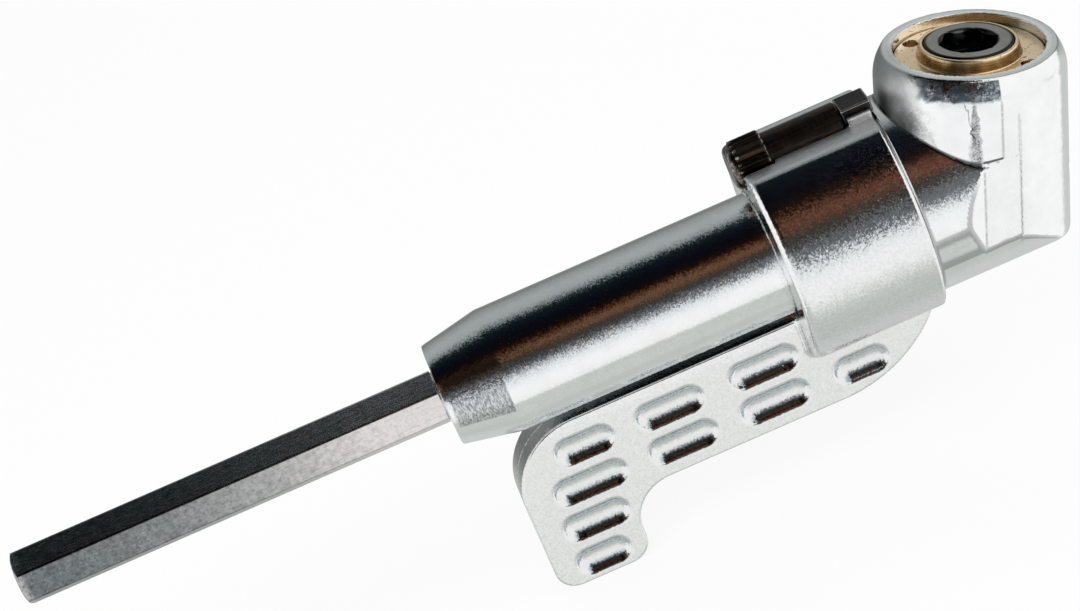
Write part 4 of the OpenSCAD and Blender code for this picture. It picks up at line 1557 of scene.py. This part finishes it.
@dataclass(frozen=True)
class Card:
    """A curved backdrop that only reflections see: part of a cylinder round the X axis.

    Its stops give colours by angle in degrees, from level at the front (0) over the
    top (90) to the back, with an even blend between neighbours. Towards the right the
    pattern slides down a little. Each spot is a soft patch of another colour, with its
    middle and half width along X in millimetres, and then in degrees.
    """

    name: str
    left: float
    right: float
    stops: tuple[tuple[float, Colour], ...]
    spots: tuple[tuple[Colour, float, float, float, float], ...]
    slide: tuple[float, float, float] = (35.0, 125.0, 11.0)
    radius: float = 0.42
    columns: int = 48

    def pattern(self, t: Tree) -> Socket:
        """Works out the card's colours round the X axis.

        Args:
            t: the tree of a material whose Object coordinates are the world's.

        Returns:
            The colour.
        """
        low, high = self.stops[0][0], self.stops[-1][0]
        middle = (low + high) / 2.0
        x, y, z = t.axes()
        turn = (z.math("ARCTAN2", 0.0 - y) * math.degrees(1.0) - middle).math("WRAP", 180.0, -180.0) + middle
        start, full, most = self.slide
        slide = x.ramp(start, full) * most * turn.fall(20.0, 32.0) * turn.ramp(-4.0, 4.0)
        blend = t.add("ValToRGB", None, {0: (turn + slide).ramp(low, high)})
        stops = blend.color_ramp.elements
        for number, (place, colour) in enumerate(self.stops):
            stop = stops[number] if number < 2 else stops.new(1.0)
            stop.position = (place - low) / (high - low)
            stop.color = (*colour, 1.0)
        colour = blend.outputs[0]
        for tint, mid_x, wide_x, mid_turn, wide_turn in self.spots:
            spot = x.near(mid_x, wide_x).ramp(0.0, 0.4) * turn.near(mid_turn, wide_turn).ramp(0.0, 0.6)
            colour = t.blend(spot, colour, tint)
        return colour

    def build(self) -> None:
        """Makes the card: each column has its angle, and each row its place along X."""
        angle = np.radians(np.linspace(self.stops[0][0], self.stops[-1][0], self.columns))[None, :]
        x = np.array([[self.left], [self.right]])
        points = np.stack(np.broadcast_arrays(x, -self.radius * np.cos(angle), self.radius * np.sin(angle)), -1)
        here = np.arange(self.columns - 1)
        made = bpy.data.materials.new(self.name)
        t = Tree(made)
        glow = t.add("Emission", None, {"Color": self.pattern(t), "Strength": 1.0})
        t.add("OutputMaterial", None, {"Surface": glow.outputs[0]})
        card = set_up(self.name, points.reshape(-1, 3),
                      np.stack([here, here + 1, here + self.columns + 1, here + self.columns], -1), made)
        card.visible_camera = card.visible_diffuse = card.visible_transmission = False


@dataclass
class Studio:
    """The floor, the lamps, the world, the reflected cards and the camera.

    Each lamp has its place, its size and its power. The camera's angles and offset
    were fitted to the photograph.
    """

    floor_z: float = -0.0316
    floor_half: float = 3.0
    floor_grey: float = 0.86
    floor_glow: float = 0.88
    light_level: float = 0.55
    aim: tuple[float, float, float] = (0.02, 0.0, 0.0)
    lamps: tuple[tuple[tuple[float, float, float], float, float], ...] = (
        ((-0.15, -0.22, 0.30), 0.28, 0.75), ((0.28, -0.12, 0.24), 0.2, 0.4), ((0.0, 0.25, 0.27), 0.28, 0.3))
    cards: tuple[Card, ...] = (
        Card("card_low", -0.5, 1.2, (
            (-122.0, (0.60, 0.62, 0.61)), (-100.0, (0.60, 0.62, 0.61)), (-84.0, (0.54, 0.565, 0.545)),
            (-70.0, (0.55, 0.575, 0.56)), (-60.0, (0.56, 0.59, 0.57)), (-51.0, (0.64, 0.66, 0.64)),
            (-44.0, (0.76, 0.78, 0.76)), (-38.0, (0.88, 0.90, 0.88)), (-30.0, (0.94, 0.96, 0.95)),
            (-20.0, (0.97, 0.98, 0.98)), (-10.0, (0.94, 0.96, 0.96)), (-3.0, (0.86, 0.88, 0.89))), (
            ((1.0, 1.0, 1.0), 700.0, 560.0, -60.0, 200.0),)),
        Card("card_dark", -0.5, 0.184, (
            (-3.0, (0.86, 0.88, 0.89)), (1.0, (0.82, 0.85, 0.86)), (6.0, (0.72, 0.75, 0.76)),
            (12.0, (0.46, 0.48, 0.49)), (17.0, (0.22, 0.23, 0.24)), (22.0, (0.09, 0.095, 0.10)),
            (28.0, (0.045, 0.045, 0.045)), (33.0, (0.042, 0.035, 0.028)), (39.0, (0.085, 0.048, 0.030)),
            (44.0, (0.145, 0.078, 0.044)),
            (48.0, (0.135, 0.065, 0.036)), (53.0, (0.075, 0.033, 0.018)), (59.0, (0.018, 0.006, 0.003)),
            (65.0, (0.004, 0.003, 0.003)), (80.0, (0.0025, 0.003, 0.006)), (98.0, (0.005, 0.009, 0.012)),
            (105.0, (0.02, 0.028, 0.03))), (
            ((0.012, 0.008, 0.006), -130.0, 145.0, 46.0, 17.0), ((0.125, 0.135, 0.14), 150.0, 110.0, 17.0, 10.0),
            ((0.13, 0.016, 0.02), 124.0, 26.0, 45.0, 6.0))),
        Card("card_grey", -0.5, 0.8, (
            (105.0, (0.02, 0.028, 0.03)), (109.0, (0.12, 0.135, 0.14)), (116.0, (0.26, 0.285, 0.285)),
            (124.0, (0.345, 0.375, 0.37)), (140.0, (0.36, 0.39, 0.385)), (160.0, (0.29, 0.31, 0.305)),
            (180.0, (0.18, 0.195, 0.19)), (198.0, (0.28, 0.30, 0.29)), (213.0, (0.60, 0.62, 0.60)),
            (238.0, (0.60, 0.62, 0.61))), (
            ((0.54, 0.55, 0.55), 300.0, 210.0, 154.0, 26.0),)))
    elevation_deg: float = 29.285
    yaw_deg: float = 0.686
    roll_deg: float = 23.561
    offset_mm: tuple[float, float, float] = (-11.846, -10.84, -385.14)
    lens: float = 106.25
    sensor: float = 36.0
    clip: tuple[float, float] = (0.01, 20.0)

    def build(self) -> None:
        """Sets up the whole stage."""
        self.floor()
        self.world()
        self.light()
        for card in self.cards:
            card.build()
        self.camera()

    def floor(self) -> None:
        """Lays a pale floor that the camera sees as white, with the object's soft shadow.

        In its place metal sees the pale lower card, which stands as far off as the others.
        """
        made = bpy.data.materials.new("floor")
        t = Tree(made)
        paint = t.add("BsdfDiffuse", None, {"Color": (self.floor_grey, self.floor_grey, self.floor_grey, 1.0)})
        glow = t.add("Emission", None, {"Color": WHITE, "Strength": 1.0})
        seen = t.val(t.add("LightPath"), "Is Camera Ray") * self.floor_glow
        mix = t.add("MixShader", None, {0: seen, 1: paint.outputs[0], 2: glow.outputs[0]})
        t.add("OutputMaterial", None, {"Surface": mix.outputs[0]})
        corners = np.array([(-1.0, -1.0, 0.0), (1.0, -1.0, 0.0), (1.0, 1.0, 0.0), (-1.0, 1.0, 0.0)]) * self.floor_half
        floor = set_up("floor", corners + (0.0, 0.0, self.floor_z), np.arange(4)[None, :], made)
        floor.visible_glossy = False

    def world(self) -> None:
        """A white world for the camera and for reflections, and a plain level of light."""
        made = bpy.data.worlds.new("studio")
        t = Tree(made)
        path = t.add("LightPath")
        seen = (t.val(path, "Is Camera Ray") + t.val(path, "Is Glossy Ray") + t.val(path, "Is Transmission Ray")).clip()
        plain, white = (t.add("Background", None, {"Color": WHITE, "Strength": level}).outputs[0]
                        for level in (self.light_level, 1.0))
        mix = t.add("MixShader", None, {0: seen, 1: plain, 2: white})
        t.add("OutputWorld", None, {"Surface": mix.outputs[0]})
        bpy.context.scene.world = made

    def light(self) -> None:
        """Hangs soft square lamps that look at the middle of the object."""
        for number, (place, size, power) in enumerate(self.lamps):
            data = bpy.data.lights.new(f"lamp_{number}", "AREA")
            data.shape = "SQUARE"
            data.size = size
            data.energy = power
            lamp = bpy.data.objects.new(f"lamp_{number}", data)
            lamp.location = place
            lamp.rotation_euler = (Vector(self.aim) - Vector(place)).to_track_quat("-Z", "Y").to_euler()
            lamp.visible_glossy = lamp.visible_camera = False
            bpy.context.scene.collection.objects.link(lamp)

    def camera(self) -> None:
        """Places the camera as the photograph was taken: the view is the object turned
        about its own axes by the elevation and the yaw, and then rolled in the picture."""
        view = (Matrix.Rotation(math.radians(self.roll_deg), 3, "Z")
                @ Matrix.Rotation(math.radians(self.yaw_deg), 3, "Y")
                @ Matrix(((1.0, 0.0, 0.0), (0.0, 0.0, 1.0), (0.0, -1.0, 0.0)))
                @ Matrix.Rotation(math.radians(self.elevation_deg), 3, "X"))
        data = bpy.data.cameras.new("camera")
        data.sensor_fit = "HORIZONTAL"
        data.sensor_width = self.sensor
        data.lens = self.lens
        data.clip_start, data.clip_end = self.clip
        camera = bpy.data.objects.new("camera", data)
        turn = view.transposed()
        camera.matrix_world = Matrix.Translation(-(turn @ (Vector(self.offset_mm) * MM))) @ turn.to_4x4()
        bpy.context.scene.collection.objects.link(camera)
        bpy.context.scene.camera = camera


def main() -> None:
    """Builds the sub-assemblies in order."""
    logging.basicConfig(level=logging.INFO, format="%(message)s")
    bpy.context.scene.view_settings.view_transform = "Standard"
    shop = Shop()
    for assembly in (CastBody, FingerHandle, ClampScrew, InputSpindle, BearingNut, OutputSpindle, InnerParts):
        assembly().build(shop)
    Studio().build()


if __name__ == "__main__":
    main()
